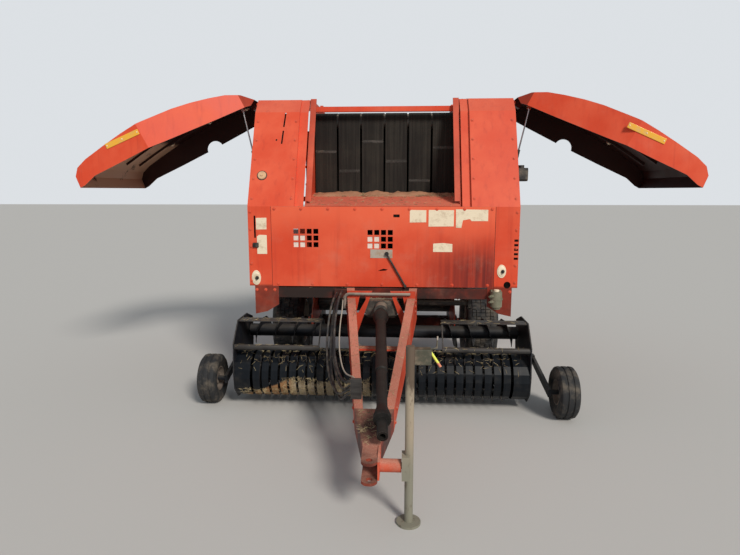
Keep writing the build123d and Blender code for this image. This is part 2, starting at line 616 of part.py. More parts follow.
# Pickup: a frame of stripper bands, end plates and lift arms, which swings on the wall's lift pins
PICKUP_BACK_Y = -60.0
BACK_TOP = 352.0
BACK_BOTTOM = 165.0
ARC_STEPS = 10
BANDS_HALF = BAND_COUNT * BAND_PITCH / 2
ARM_X = (WALL_OUT + SIDE_PLAY, WALL_OUT + SIDE_PLAY + 12)


def band_line():
    """The (Y, Z) line of a stripper band, from its bottom end round the front to its top end."""
    points = [(PICKUP_BACK_Y, BACK_BOTTOM)]
    for i in range(ARC_STEPS + 1):
        angle = math.radians(285 - i * 210 / ARC_STEPS)
        points.append((REEL_Y + BAND_RADIUS * math.cos(angle), REEL_Z + BAND_RADIUS * math.sin(angle)))
    points.append((PICKUP_BACK_Y, BACK_TOP))
    return points


pickup = box((-END_PLATE_X, END_PLATE_X), (PICKUP_BACK_Y, PICKUP_BACK_Y + 6), (BACK_BOTTOM - 4, BACK_TOP + 4))
line = band_line()
bands = []
for i in range(BAND_COUNT):
    middle = (i - (BAND_COUNT - 1) / 2) * BAND_PITCH
    bands.append(bent_sheet(line, BAND_THICK, (middle - BAND_WIDTH / 2, middle + BAND_WIDTH / 2)))
for side in (-1, 1):
    edges = sorted((side * (BANDS_HALF + 12), side * END_PLATE_X))
    bands.append(bent_sheet(line, BAND_THICK, edges))
node("pickup_bands", pickup + bands)
END_OUTLINE = [
    (REEL_Y - 150, REEL_Z - 90), (REEL_Y - 60, REEL_Z - 175), (REEL_Y + 60, REEL_Z - 175), (0, 160), (60, 400),
    (60, 590), (-110, 652), (-355, 652), (-495, 500), (-495, 452), (REEL_Y - 168, REEL_Z + 40)]
END_PLATE = (END_PLATE_X, END_PLATE_X + 8)
# (Y, Z) round a lift arm, from its pin down to the back plate
ARM_OUTLINE = [
    (LIFT_Y + 35, LIFT_Z + 40), (LIFT_Y - 35, LIFT_Z + 40), (LIFT_Y - 35, 425), (PICKUP_BACK_Y + 6, 360),
    (PICKUP_BACK_Y + 6, 170), (60, 230), (LIFT_Y + 35, 400)]
AUGER_SHAFT = 20.0
ends = []
for side in (-1, 1):
    plate = plate_x(END_OUTLINE, sorted((side * END_PLATE[0], side * END_PLATE[1])))
    plate += rod_x(REEL_Y, REEL_Z, sorted((side * (END_PLATE[0] - 30), side * END_PLATE[1])), AUGER_SHAFT)
    plate += rod_x(AUGER_Y, AUGER_Z, sorted((side * (END_PLATE[0] - 30), side * END_PLATE[1])), AUGER_SHAFT)
    ends.append(plate)
    arm = plate_x(ARM_OUTLINE, sorted((side * ARM_X[0], side * ARM_X[1])))
    arm -= rod_x(LIFT_Y, LIFT_Z, sorted((side * WALL_OUT, side * (ARM_X[1] + 5))), LIFT_PIN + PIN_PLAY)
    ends.append(arm)
node("pickup_frame", *ends)

# Stub arms and axles of the gauge wheels, pinned to the end plates
GAUGE_AXLE = 18.0
GAUGE_STUB = ((-20.0, 40.0), (250.0, 310.0))
gauge_arms = []
for side, (x, y) in zip((1, -1), GAUGE_PLACES):
    arm_x = (x - GAUGE_WIDTH / 2 - 45, x - GAUGE_WIDTH / 2 - 25)
    arm = box(sorted((side * END_PLATE[1], side * arm_x[1])), *GAUGE_STUB)
    rear_y, (stub_low, stub_high) = GAUGE_STUB[0][1], GAUGE_STUB[1]
    outline = [(rear_y, stub_high), (rear_y, stub_low), (y - 30, GAUGE_RADIUS - 30),
               (y - 30, GAUGE_RADIUS + 30)]
    arm += plate_x(outline, sorted((side * arm_x[0], side * arm_x[1])))
    arm += rod_x(y, GAUGE_RADIUS, sorted((side * arm_x[0], side * (x + 60))), GAUGE_AXLE)
    gauge_arms.append(arm)
node("gauge_arms", *gauge_arms)

# Guard over each end of the auger: a front pipe, a top plate and the posts between them
CAGE_PIPE = (-470.0, 475.0)
CAGE_TOP = (-350.0, -240.0, 640.0)
CAGE_INNER = 450.0
cage = []
for side in (-1, 1):
    low_pipe = rod_x(CAGE_PIPE[0], CAGE_PIPE[1], sorted((side * CAGE_INNER, side * END_PLATE[0])), 20)
    top = box(sorted((side * CAGE_INNER, side * END_PLATE[0])), CAGE_TOP[:2], (CAGE_TOP[2], CAGE_TOP[2] + 6))
    post_line = [(CAGE_PIPE[0] - 14, CAGE_PIPE[1]), (CAGE_PIPE[0] + 14, CAGE_PIPE[1]),
                 (CAGE_TOP[0] + 60, CAGE_TOP[2] + 3), (CAGE_TOP[0] + 20, CAGE_TOP[2] + 3)]
    post = plate_x(post_line, sorted((side * CAGE_INNER, side * (CAGE_INNER + 8))))
    cage.append(low_pipe + top + post)
node("auger_cage", *cage)

# Reel with its tine bars, and the centring auger
REEL_TUBE = 45.0
REEL_HALF = END_PLATE_X - 12.0
reel = rod_x(REEL_Y, REEL_Z, (-REEL_HALF, REEL_HALF), REEL_TUBE)
BAR_RADIUS = 120.0
# (distance out, distance ahead) round a tine, which bends back towards its tip
TINE_OUTLINE = [(BAR_RADIUS, -3), (178, -3), (TINE_RADIUS - 4, -26), (TINE_RADIUS - 2, -20), (180, 4),
                (BAR_RADIUS, 3)]
for x in (-900, 0, 900):
    reel += rod_x(REEL_Y, REEL_Z, (x - 5, x + 5), BAR_RADIUS + 18)
for bar in range(TINE_BARS):
    angle = math.radians(45 + bar * 360 / TINE_BARS)
    cy, cz = math.cos(angle), math.sin(angle)
    reel += rod_x(REEL_Y + BAR_RADIUS * cy, REEL_Z + BAR_RADIUS * cz, (-BANDS_HALF, BANDS_HALF), 14)
    for i in range(BAND_COUNT - 1):
        x = (i + 1 - BAND_COUNT / 2) * BAND_PITCH
        tine = plate_x(TINE_OUTLINE, (x - TINE_WIRE / 2, x + TINE_WIRE / 2))
        reel += Pos(0, REEL_Y, REEL_Z) * (Rot(45 + bar * 360 / TINE_BARS, 0, 0) * tine)
reel -= rod_x(REEL_Y, REEL_Z, (-REEL_HALF - 5, -REEL_HALF + 20), AUGER_SHAFT + PIN_PLAY)
reel -= rod_x(REEL_Y, REEL_Z, (REEL_HALF - 20, REEL_HALF + 5), AUGER_SHAFT + PIN_PLAY)
node("pickup_reel", reel)

FLIGHT_INNER = 470.0
FLIGHT_PITCH = 150.0
FLIGHT_TURNS = 3.8
FLIGHT_STEPS = 10
FLIGHT_THICK = 5.0


def flight():
    """The left flight: a plate ruled between radial sections that turn and step outwards."""
    sections = []
    for i in range(round(FLIGHT_TURNS * FLIGHT_STEPS) + 1):
        angle = 2 * math.pi * i / FLIGHT_STEPS
        middle = (FLIGHT_INNER + FLIGHT_PITCH * i / FLIGHT_STEPS, AUGER_Y, AUGER_Z)
        place = Plane(origin=middle, x_dir=(1, 0, 0), z_dir=(0, -math.sin(angle), math.cos(angle)))
        deep = AUGER_RADIUS - AUGER_TUBE + 6
        sections.append(place * Pos(0, AUGER_RADIUS - deep / 2) * Rectangle(FLIGHT_THICK, deep))
    return loft(sections, ruled=True)


auger = rod_x(AUGER_Y, AUGER_Z, (-REEL_HALF, REEL_HALF), AUGER_TUBE)
auger -= rod_x(AUGER_Y, AUGER_Z, (-REEL_HALF - 5, -REEL_HALF + 20), AUGER_SHAFT + PIN_PLAY)
auger -= rod_x(AUGER_Y, AUGER_Z, (REEL_HALF - 20, REEL_HALF + 5), AUGER_SHAFT + PIN_PLAY)
left_flight = flight()
auger += left_flight
auger += other_side([left_flight])[0]
node("centering_auger", auger)

# Gauge wheels
GAUGE_PROFILE = [(-52, GAUGE_RADIUS), (52, GAUGE_RADIUS), (75, 150), (58, 92), (-58, 92), (-75, 150)]
GAUGE_RIM = [(-58, 91), (-58, 84), (-12, 76), (-12, 40), (-40, 40), (-40, GAUGE_AXLE + PIN_PLAY),
             (40, GAUGE_AXLE + PIN_PLAY), (40, 40), (-4, 40), (-4, 78), (58, 84), (58, 91)]
for name, side, (x, y) in zip(("left", "right"), (1, -1), GAUGE_PLACES):
    wheel = [spun_x(profile, y, GAUGE_RADIUS, x) for profile in (GAUGE_PROFILE, GAUGE_RIM)]
    node("gauge_wheel_" + name, *(wheel if side > 0 else other_side(wheel)))

# Tailgate: side walls, rear plate, ribs and hinge lugs, which turn about the gate pins
GATE_REAR = 1945.0
GATE_TOP_Z = WALL_TOP - 8.0
GATE_BACK = [(1480, 520), (1760, 640), (GATE_REAR, 1000), (GATE_REAR, 1650), (1780, 2100), (1500, GATE_TOP_Z)]
GATE_OUTLINE = [(962, GATE_TOP_Z), (1062, 552)] + GATE_BACK
GATE_RIBS = [(1200, 1250), (1560, 1610)]
# (Y, Z, radius) of each tailgate roller
GATE_TOP = (1100, 2230, 60)
GATE_UPPER = (1500, 2150, 60)
GATE_MIDDLE = (1800, 1450, 60)
GATE_LOW = (1560, 700, 60)
GATE_ROLLERS = [GATE_TOP, GATE_UPPER, GATE_MIDDLE, GATE_LOW]
# bottom Z of each channel across the rear sheet, and how deep and high they are
REAR_CHANNELS = [1020.0, 1330.0]
REAR_CHANNEL = (36.0, 60.0)
# (Y, Z) round the arm from each gate pin back to the tailgate's wall
GATE_ARM = [
    (GATE_Y - 30, GATE_Z - 25), (GATE_Y - 30, GATE_Z + 25), (GATE_Y + 40, GATE_Z + 25),
    (GATE_Y + 340, GATE_TOP_Z - 12), (GATE_Y + 340, GATE_TOP_Z - 72), (GATE_Y + 40, GATE_Z - 45)]
gate = None
for side in (-1, 1):
    wall = plate_x(GATE_OUTLINE, sorted((side * CHAMBER_HALF, side * WALL_OUT)))
    lug_x = sorted((side * (WALL_OUT + GATE_LUG + SIDE_PLAY), side * (WALL_OUT + 2 * GATE_LUG + SIDE_PLAY)))
    lug = plate_x(GATE_ARM, lug_x)
    lug -= rod_x(GATE_Y, GATE_Z, (lug_x[0] - 5, lug_x[1] + 5), GATE_PIN + PIN_PLAY)
    spacer_x = sorted((side * WALL_OUT, side * (WALL_OUT + GATE_LUG + SIDE_PLAY)))
    spacer = box(spacer_x, (GATE_Y + 150, GATE_Y + 340), (GATE_TOP_Z - 42, GATE_TOP_Z - 12))
    ribs = [box(sorted((side * WALL_OUT, side * (WALL_OUT + RIB_DEEP))), (front, rear), (620, 2240))
            for front, rear in GATE_RIBS]
    piece = wall + lug + spacer + ribs[0] + ribs[1]
    housings = [bearing(y, z) for y, z, radius in GATE_ROLLERS]
    for housing in housings if side > 0 else other_side(housings):
        piece += housing
    gate = piece if gate is None else gate + piece
REAR_LINE = GATE_BACK + [(1100, GATE_TOP_Z)]
gate += bent_sheet(REAR_LINE, SHEET, (-CHAMBER_HALF, CHAMBER_HALF))
for low in REAR_CHANNELS:
    channel_y = (GATE_REAR, GATE_REAR + REAR_CHANNEL[0])
    gate += box((-CHAMBER_HALF, CHAMBER_HALF), channel_y, (low, low + REAR_CHANNEL[1]))
for side in (-1, 1):
    boss_x = sorted((side * WALL_OUT, side * (CYL_X - EYE_WIDE / 2 - 12)))
    boss = box(boss_x, (CYL_EYE[0] - 30, CYL_EYE[0] + 60), (CYL_EYE[1] - 30, CYL_EYE[1] + 40))
    boss_x = sorted((side * WALL_OUT, side * (CYL_X - EYE_WIDE / 2 - PIN_PLAY)))
    boss += rod_x(CYL_EYE[0], CYL_EYE[1], boss_x, 20)
    gate += boss
node("tailgate_frame", gate)

node("tailgate_rollers", *[roller(*place) for place in GATE_ROLLERS])
node("tailgate_belts", *belts([GATE_LOW, GATE_MIDDLE, GATE_UPPER, GATE_TOP]))

# Rear lamps on short arms of the tailgate
lamps = []
for side in (-1, 1):
    arm = box(sorted((side * (WALL_OUT + RIB_DEEP), side * 700)), (1580, 1610), (1180, 1210))
    lamp = box(sorted((side * 640, side * 790)), (1610, 1660), (1150, 1240))
    lamps.append(arm + lamp)
node("tail_lamps", *lamps)

# Side doors, drawn raised in their own section: U runs from the hinge to the lower edge, V points outwards
DOOR_SKIN = [
    (0, 30), (70, 95), (170, 140), (286, 167), (420, 190), (554, 203), (783, 204), (960, 197), (1121, 184),
    (1300, 165), (1390, 140), (1438, 90), (DOOR_LONG, 0)]
DOOR_INNER = [(DOOR_LONG - 45, 0), (1300, 25), (1000, 10), (700, 0), (300, -6), (40, -6)]
# (U, Y) of the front edge, which follows the pillar that it shuts against
DOOR_EDGE = [(-60, 290), (0, 217), (85, 130), (820, FRONT_Y), (DOOR_LONG + 60, FRONT_Y)]
FLANGE = 4.0
# (U, V, radius) of the round notch in the rear flange, then the ribs under the skin: front Y, width and depth
DOOR_NOTCH = (655.0, -12.0, 78.0)
DOOR_RIBS = [430.0, 670.0]
DOOR_RIB = (36.0, 24.0)


def door_point(u, v):
    """The (X, Z) place of a point of the door's section."""
    turn = math.radians(DOOR_DROP)
    return (DOOR_X + u * math.cos(turn) + v * math.sin(turn), DOOR_Z - u * math.sin(turn) + v * math.cos(turn))


def door_prism(section, front, rear):
    """A closed section of (U, V) points, from one Y to another."""
    return plate_y([door_point(u, v) for u, v in section], (front, rear))


def edge_slab(thick):
    """What lies ahead of the door's front edge, grown rearwards by a thickness."""
    outline = [(u, y + thick) for u, y in DOOR_EDGE] + [(DOOR_LONG + 60, FRONT_Y - 60), (-60, FRONT_Y - 60)]
    cosine, sine = math.cos(math.radians(DOOR_DROP)), math.sin(math.radians(DOOR_DROP))
    turned = Plane(origin=(DOOR_X, 0, DOOR_Z), x_dir=(cosine, 0, -sine), z_dir=(sine, 0, cosine))
    face = make_face(Polyline(*outline, close=True))
    return extrude(turned.offset(-300) * face, 600)


def door():
    skin_line = [door_point(u, v) for u, v in DOOR_SKIN]
    face = make_face(offset(Polyline(*skin_line), amount=DOOR_SHEET, side=Side.RIGHT))
    skin = extrude(Plane.XZ.offset(-DOOR_REAR) * face, DOOR_REAR - FRONT_Y) - edge_slab(0)
    section = DOOR_SKIN + DOOR_INNER
    front = (door_prism(section, FRONT_Y, 300) & edge_slab(FLANGE)) - edge_slab(0)
    rear = door_prism(section, DOOR_REAR - FLANGE, DOOR_REAR)
    x, z = door_point(DOOR_NOTCH[0], DOOR_NOTCH[1])
    rear -= rod((x, DOOR_REAR - 2 * FLANGE, z), (x, DOOR_REAR + FLANGE, z), DOOR_NOTCH[2])
    whole = skin + front + rear
    rib_line = DOOR_SKIN[2:-3]
    rib = rib_line + [(u, v - DOOR_RIB[1]) for u, v in reversed(rib_line)]
    for low in DOOR_RIBS:
        whole += door_prism(rib, low, low + DOOR_RIB[0])
    return whole


left_door = door()
STRUT_REACH = 120.0
STRUT_EYE = door_point(STRUT_REACH, 0)
for front in HINGES:
    start, end = front + HINGE_LONG, front + 2 * HINGE_LONG
    strap = door_prism([(0, -8), (70, -8), (70, 93), (0, 30)], start, end)
    strap += rod((DOOR_X, start, DOOR_Z), (DOOR_X, end, DOOR_Z), HINGE_KNUCKLE)
    left_door += strap - rod((DOOR_X, start - 1, DOOR_Z), (DOOR_X, end + 1, DOOR_Z), HINGE_PIN + PIN_PLAY)
stud_y = STRUT_Y + STRUT_EYE_HALF + PIN_PLAY
strut_lug = [(STRUT_REACH - 15, -12), (STRUT_REACH + 15, -12), (STRUT_REACH + 15, 122), (STRUT_REACH - 15, 115)]
left_door += door_prism(strut_lug, stud_y + 6, stud_y + 14)
left_door += rod((STRUT_EYE[0], stud_y, STRUT_EYE[1]), (STRUT_EYE[0], stud_y + 10, STRUT_EYE[1]), STRUT_PIN)
node("door_left", left_door)
node("door_right", *other_side([left_door]))

# Gas struts of the doors and lift cylinders of the tailgate: a barrel on the frame and a rod with an open eye
STRUT_TUBE = 13.0
STRUT_ROD = 6.0
strut_base = Vector(STRUT_BASE[0], STRUT_Y, STRUT_BASE[1])
strut_way = Vector(STRUT_EYE[0], STRUT_Y, STRUT_EYE[1]) - strut_base
strut_long = strut_way.length
strut_unit = strut_way.normalized()


def on_strut(distance):
    """The point of the left strut's line at a distance from its lower pin."""
    point = strut_base + strut_unit * distance
    return (point.X, point.Y, point.Z)


def strut_eye(middle, radius):
    """A flat round eye across the strut's plane."""
    x, z = middle
    return rod((x, STRUT_Y - STRUT_EYE_HALF, z), (x, STRUT_Y + STRUT_EYE_HALF, z), radius)


STRUT_BARREL_START = 26.0
STRUT_BARREL_LONG = 400.0
STRUT_NECK = 5.5
barrel = rod(on_strut(STRUT_BARREL_START), on_strut(STRUT_BARREL_LONG), STRUT_TUBE)
barrel -= rod(on_strut(STRUT_BARREL_START + 30), on_strut(STRUT_BARREL_LONG + 5), STRUT_ROD + PIN_PLAY)
barrel += rod(on_strut(STRUT_PIN + 3), on_strut(STRUT_BARREL_START + 5), STRUT_NECK)
barrel += strut_eye(STRUT_BASE, 13)
barrel -= strut_eye(STRUT_BASE, STRUT_PIN + PIN_PLAY)
node("strut_barrel_left", barrel)
node("strut_barrel_right", *other_side([barrel]))
strut_rod = rod(on_strut(180), on_strut(strut_long - 6), STRUT_ROD) + strut_eye(STRUT_EYE, 12)
node("strut_rod_left", strut_rod)
node("strut_rod_right", *other_side([strut_rod]))

CYL_TUBE = 32.0
CYL_ROD = 18.0
cyl_base = Vector(CYL_X, *CYL_BASE)
cyl_way = Vector(CYL_X, *CYL_EYE) - cyl_base
cyl_long = cyl_way.length
cyl_unit = cyl_way.normalized()


def on_cylinder(distance):
    point = cyl_base + cyl_unit * distance
    return (point.X, point.Y, point.Z)


barrel = rod(on_cylinder(0), on_cylinder(760), CYL_TUBE)
barrel += rod_x(CYL_BASE[0], CYL_BASE[1], (CYL_X - 16, CYL_X + 16), 34)
barrel -= rod_x(CYL_BASE[0], CYL_BASE[1], (CYL_X - 20, CYL_X + 20), EYE_PIN + PIN_PLAY)
barrel -= rod(on_cylinder(120), on_cylinder(765), CYL_ROD + PIN_PLAY)
node("cylinder_barrel_left", barrel)
node("cylinder_barrel_right", *other_side([barrel]))
cyl_rod = rod(on_cylinder(400), on_cylinder(cyl_long - 10), CYL_ROD)
cyl_rod += rod_x(CYL_EYE[0], CYL_EYE[1], (CYL_X - EYE_WIDE / 2, CYL_X + EYE_WIDE / 2), 32)
node("cylinder_rod_left", cyl_rod)
node("cylinder_rod_right", *other_side([cyl_rod]))

# Four hoses and a cable that hang from the cross tube to a clip on the right tongue beam
HOSE_BLOCK = ((-360.0, -270.0), (CROSS_Y[0] - 40.0, CROSS_Y[0]), (808.0, 872.0))
node("hose_block", box(*HOSE_BLOCK))
CLIP = ((-140.0, -76.0), (-1334.0, -1310.0), (424.0, 545.0))
clip = box(*CLIP)
clip -= mirror(left_beam, about=Plane.YZ)
node("hose_clip", clip)
HOSE_DIAMETER = 16.0
CABLE_DIAMETER = 9.0
# (X, Y, Z) of each point, from the block to the clip
HOSE_A = [
    (-316, -236, 835), (-316, -330, 832), (-326, -420, 790), (-335, -500, 712), (-337, -590, 622),
    (-325, -690, 530), (-300, -800, 452), (-265, -920, 396), (-225, -1040, 384), (-187, -1145, 412),
    (-150, -1235, 478), (-92, -1310, 500)]
HOSE_B = [
    (-344, -236, 845), (-347, -335, 842), (-362, -415, 790), (-374, -480, 700), (-378, -550, 600),
    (-370, -640, 500), (-350, -750, 412), (-312, -870, 352), (-268, -990, 336), (-224, -1100, 362),
    (-180, -1200, 428), (-118, -1310, 486)]
HOSE_C = [
    (-304, -236, 860), (-304, -328, 860), (-311, -415, 828), (-317, -500, 760), (-319, -590, 680),
    (-313, -690, 592), (-296, -800, 515), (-262, -920, 460), (-224, -1040, 442), (-187, -1145, 458),
    (-152, -1235, 502), (-122, -1310, 513)]
HOSE_D = [
    (-331, -236, 817), (-333, -322, 810), (-344, -402, 762), (-353, -475, 672), (-354, -553, 566),
    (-346, -642, 462), (-326, -745, 372), (-291, -860, 314), (-252, -975, 298), (-214, -1085, 322),
    (-182, -1195, 398), (-129, -1310, 464)]
CABLE = [
    (-288, -236, 820), (-288, -300, 819), (-284, -370, 800), (-281, -440, 755), (-285, -510, 698),
    (-284, -590, 642), (-278, -680, 592), (-266, -775, 550), (-248, -870, 520), (-228, -965, 501),
    (-205, -1055, 496), (-180, -1140, 506), (-152, -1215, 524), (-122, -1270, 531), (-104, -1310, 530)]


def cord(name, points, diameter):
    """A round cord along straight runs joined by the largest arcs that the runs allow."""
    radii = []
    for before, point, after in zip(points, points[1:], points[2:]):
        first = Vector(*point) - Vector(*before)
        second = Vector(*after) - Vector(*point)
        turn = math.radians(first.get_angle(second))
        radii.append(0.45 * min(first.length, second.length) / math.tan(turn / 2))
    print(name, [round(radius) for radius in radii])
    path = FilletPolyline(*points, radius=radii)
    start = Plane(origin=points[0], z_dir=Vector(*points[1]) - Vector(*points[0]))
    tube = sweep(start * Circle(diameter / 2), path=path)
    print(name, "length", round(path.length), "volume over section times length",
          round(tube.volume / (math.pi * diameter ** 2 / 4 * path.length), 4))
    node(name, tube - box(*HOSE_BLOCK) - box(*CLIP))


cord("hose_a", HOSE_A, HOSE_DIAMETER)
cord("hose_b", HOSE_B, HOSE_DIAMETER)
cord("hose_c", HOSE_C, HOSE_DIAMETER)
cord("hose_d", HOSE_D, HOSE_DIAMETER)
cord("control_cable", CABLE, CABLE_DIAMETER)

# Control box with its lever on the left tongue beam, and the chain oiler's tank on the left panel
CONTROL = ((240.0, 356.0), (-770.0, -690.0), (452.0, 560.0))
CONTROL_SEAT = (150.0, 500.0, 545.0)
control = box(*CONTROL)
control = chamfer(control.edges(), 5)
control += box((CONTROL_SEAT[0], CONTROL[0][0] + 5), (CONTROL[1][0] + 15, CONTROL[1][1] - 15), CONTROL_SEAT[1:])
control -= left_beam
lever_y = CONTROL[1][0] + 20
control += rod((CONTROL[0][1] - 12, lever_y, 552), (CONTROL[0][1] + 62, lever_y - 20, 445), 9)
control += rod((CONTROL[0][1] - 8, CONTROL[1][1] - 20, 545), (CONTROL[0][1] + 38, CONTROL[1][1] - 20, 560), 5)
control += rod((CONTROL[0][1] + 38, CONTROL[1][1] - 20, 556), (CONTROL[0][1] + 42, CONTROL[1][1] - 20, 640), 5)
node("control_box", control)
OILER = ((BODY_HALF, BODY_HALF + 80), (-40, 90), (1690, 1790))
tank = box(*OILER)
tank = chamfer(tank.edges().filter_by(Axis.X), 14)
tank += rod((BODY_HALF + 40, 25, OILER[2][1]), (BODY_HALF + 40, 25, OILER[2][1] + 22), 22)
node("oiler_tank", tank)

os.makedirs("parts", exist_ok=True)
for name, solids in NODES.items():
    export_step(Compound(solids), f"parts/{name}.step")
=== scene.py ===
import math
import random

import bmesh
import bpy
from mathutils import Matrix, Vector, noise
from mathutils.bvhtree import BVHTree


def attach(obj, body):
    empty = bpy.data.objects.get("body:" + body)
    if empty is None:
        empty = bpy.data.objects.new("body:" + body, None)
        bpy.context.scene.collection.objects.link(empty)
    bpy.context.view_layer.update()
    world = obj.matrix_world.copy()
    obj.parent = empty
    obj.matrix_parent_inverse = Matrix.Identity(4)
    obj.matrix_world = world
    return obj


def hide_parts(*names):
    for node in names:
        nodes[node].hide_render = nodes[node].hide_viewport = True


# The round baler stands parked with both side doors raised. X is its own left, Y its rear and Z up, in
# metres.
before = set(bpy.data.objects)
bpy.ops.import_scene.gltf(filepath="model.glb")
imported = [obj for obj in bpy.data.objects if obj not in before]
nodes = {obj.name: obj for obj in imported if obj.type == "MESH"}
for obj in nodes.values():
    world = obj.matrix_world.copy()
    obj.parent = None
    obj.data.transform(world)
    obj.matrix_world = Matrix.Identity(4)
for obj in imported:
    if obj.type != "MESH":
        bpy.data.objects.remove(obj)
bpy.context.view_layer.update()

# The place it is shown in: a plain pale floor, soft daylight from ahead and its left, and a camera at the
# height of a person's eyes, two and a half metres ahead of the hitch.
scene = bpy.context.scene
scene.view_settings.view_transform = "Standard"
CAMERA_PLACE = (0.144, -4.4, 1.62)
CAMERA_PITCH = math.radians(81.1)
CAMERA_YAW = math.radians(3.2)
SENSOR = 36.0
FOCAL = 27.05
camera = bpy.data.objects.new("camera", bpy.data.cameras.new("camera"))
camera.data.sensor_width = SENSOR
camera.data.lens = FOCAL
camera.data.clip_end = 200.0
camera.location = CAMERA_PLACE
camera.rotation_euler = (CAMERA_PITCH, 0.0, CAMERA_YAW)
scene.collection.objects.link(camera)
scene.camera = camera

SUN_FROM = Vector((0.62, -1.0, 0.85))
SUN_STRENGTH = 2.75
SUN_WIDTH = math.radians(14.0)
SUN_COLOUR = (1.0, 0.95, 0.88)
sun = bpy.data.objects.new("sun", bpy.data.lights.new("sun", "SUN"))
sun.data.energy = SUN_STRENGTH
sun.data.angle = SUN_WIDTH
sun.data.color = SUN_COLOUR
sun.rotation_euler = SUN_FROM.to_track_quat("Z", "Y").to_euler()
scene.collection.objects.link(sun)


class Signal:
    """A shader socket in a material: operators add Math nodes, and node() adds any other kind."""

    def __init__(self, tree, socket=None):
        self.tree = tree
        self.socket = socket

    def node(self, kind, settings=None, values=None, output=0):
        """A new node of a kind, with its settings made first and then its sockets given values or links."""
        made = self.tree.nodes.new("ShaderNode" + kind)
        for name, value in (settings or {}).items():
            setattr(made, name, value)
        for name, value in (values or {}).items():
            socket = made.inputs[name]
            if isinstance(value, Signal):
                self.tree.links.new(value.socket, socket)
            else:
                socket.default_value = (*value, 1.0) if socket.type == "RGBA" else value
        return Signal(self.tree, made.outputs[output])

    def math(self, operation, first, second):
        return self.node("Math", {"operation": operation}, {0: first, 1: second})

    def __add__(self, other):
        return self.math("ADD", self, other)

    __radd__ = __add__

    def __mul__(self, other):
        return self.math("MULTIPLY", self, other)

    __rmul__ = __mul__

    def __sub__(self, other):
        return self.math("SUBTRACT", self, other)

    def __rsub__(self, other):
        return self.math("SUBTRACT", other, self)

    def greatest(self, other):
        return self.math("MAXIMUM", self, other)

    def least(self, other):
        return self.math("MINIMUM", self, other)

    def rise(self, low, high):
        """0 below low, 1 above high and smooth between them; a low above the high makes it fall."""
        return self.node("MapRange", {"interpolation_type": "SMOOTHSTEP"},
                         {"Value": self, "From Min": low, "From Max": high})

    def tint(self, under, over):
        """The colour under, changed to the colour over as this signal goes from 0 to 1."""
        return self.node("Mix", {"data_type": "RGBA"}, {0: self, 6: under, 7: over}, output=2)

    def axis(self, name):
        return self.node("SeparateXYZ", None, {0: self}, output=name)

    def noise(self, scale, detail=4.0, rough=0.6):
        """Cloudy noise at this place, with about so many clouds in a metre."""
        return self.node("TexNoise", None,
                         {"Vector": self, "Scale": scale, "Detail": detail, "Roughness": rough})

    def stretched(self, x, y, z):
        """This place with its axes multiplied, so that a pattern on it is drawn out."""
        return self.node("Mapping", None, {"Vector": self, "Scale": (x, y, z)})


SKY_LIGHT = (0.86, 0.93, 1.0)
SKY_STRENGTH = 0.38
BACKDROP = (0.72, 0.75, 0.78)
world = bpy.data.worlds.new("daylight")
world.use_nodes = True
scene.world = world
sky = Signal(world.node_tree)
sky_light = sky.node("Background", None, {"Color": SKY_LIGHT, "Strength": SKY_STRENGTH})
sky_seen = sky.node("Background", None, {"Color": BACKDROP, "Strength": 1.0})
sky_rays = sky.node("LightPath", output="Is Camera Ray")
sky_mix = sky.node("MixShader", None, {0: sky_rays, 1: sky_light, 2: sky_seen})
sky.tree.links.new(sky_mix.socket, sky.tree.nodes["World Output"].inputs["Surface"])

FLOOR_HALF = 60.0
FLOOR_COLOUR = (0.53, 0.52, 0.5)
FLOOR_ROUGH = 0.9
floor_shape = bmesh.new()
bmesh.ops.create_grid(floor_shape, x_segments=1, y_segments=1, size=FLOOR_HALF)
floor_mesh = bpy.data.meshes.new("floor")
floor_shape.to_mesh(floor_mesh)
floor_shape.free()
floor_paint = bpy.data.materials.new("floor")
floor_paint.use_nodes = True
floor_shader = floor_paint.node_tree.nodes["Principled BSDF"]
floor_shader.inputs["Base Color"].default_value = (*FLOOR_COLOUR, 1.0)
floor_shader.inputs["Roughness"].default_value = FLOOR_ROUGH
floor_mesh.materials.append(floor_paint)
floor = bpy.data.objects.new("floor", floor_mesh)
scene.collection.objects.link(floor)


# Four hydraulic hoses and a control cable run from the block on the cross tube to a clip on the right
# tongue beam. The hoses are black rubber and the cable has a pale plastic sheath. They are stiff, and sag
# only a little between.
def new_material(name):
    """An empty finish: the material, its shader, and the place on the object to build patterns from."""
    made = bpy.data.materials.new(name)
    made.use_nodes = True
    shader = made.node_tree.nodes["Principled BSDF"]
    place = Signal(made.node_tree).node("TexCoord", output="Object")
    return made, shader, place


def give(shader, **sockets):
    """Sets or links a shader's sockets, whose names have spaces for underscores."""
    for name, value in sockets.items():
        socket = shader.inputs[name.replace("_", " ")]
        if isinstance(value, Signal):
            value.tree.links.new(value.socket, socket)
        else:
            socket.default_value = value


def bumped(height, depth, strength=0.6):
    """A bumped normal from a height, whose full range stands for a depth in metres."""
    return height.node("Bump", None, {"Height": height, "Distance": depth, "Strength": strength})


DUST = (0.33, 0.27, 0.2)


def sheath(name, colour, rough, dusty):
    """The cover of a hose or cable: its own colour under patchy dust."""
    made, shader, place = new_material(name)
    patch = place.noise(14.0, 5.0).rise(0.42, 0.7)
    give(shader, Base_Color=(patch * dusty).tint(colour, DUST), Roughness=patch * 0.2 + rough,
         Normal=bumped(place.noise(900.0, 2.0), 0.0004, 0.4))
    return made


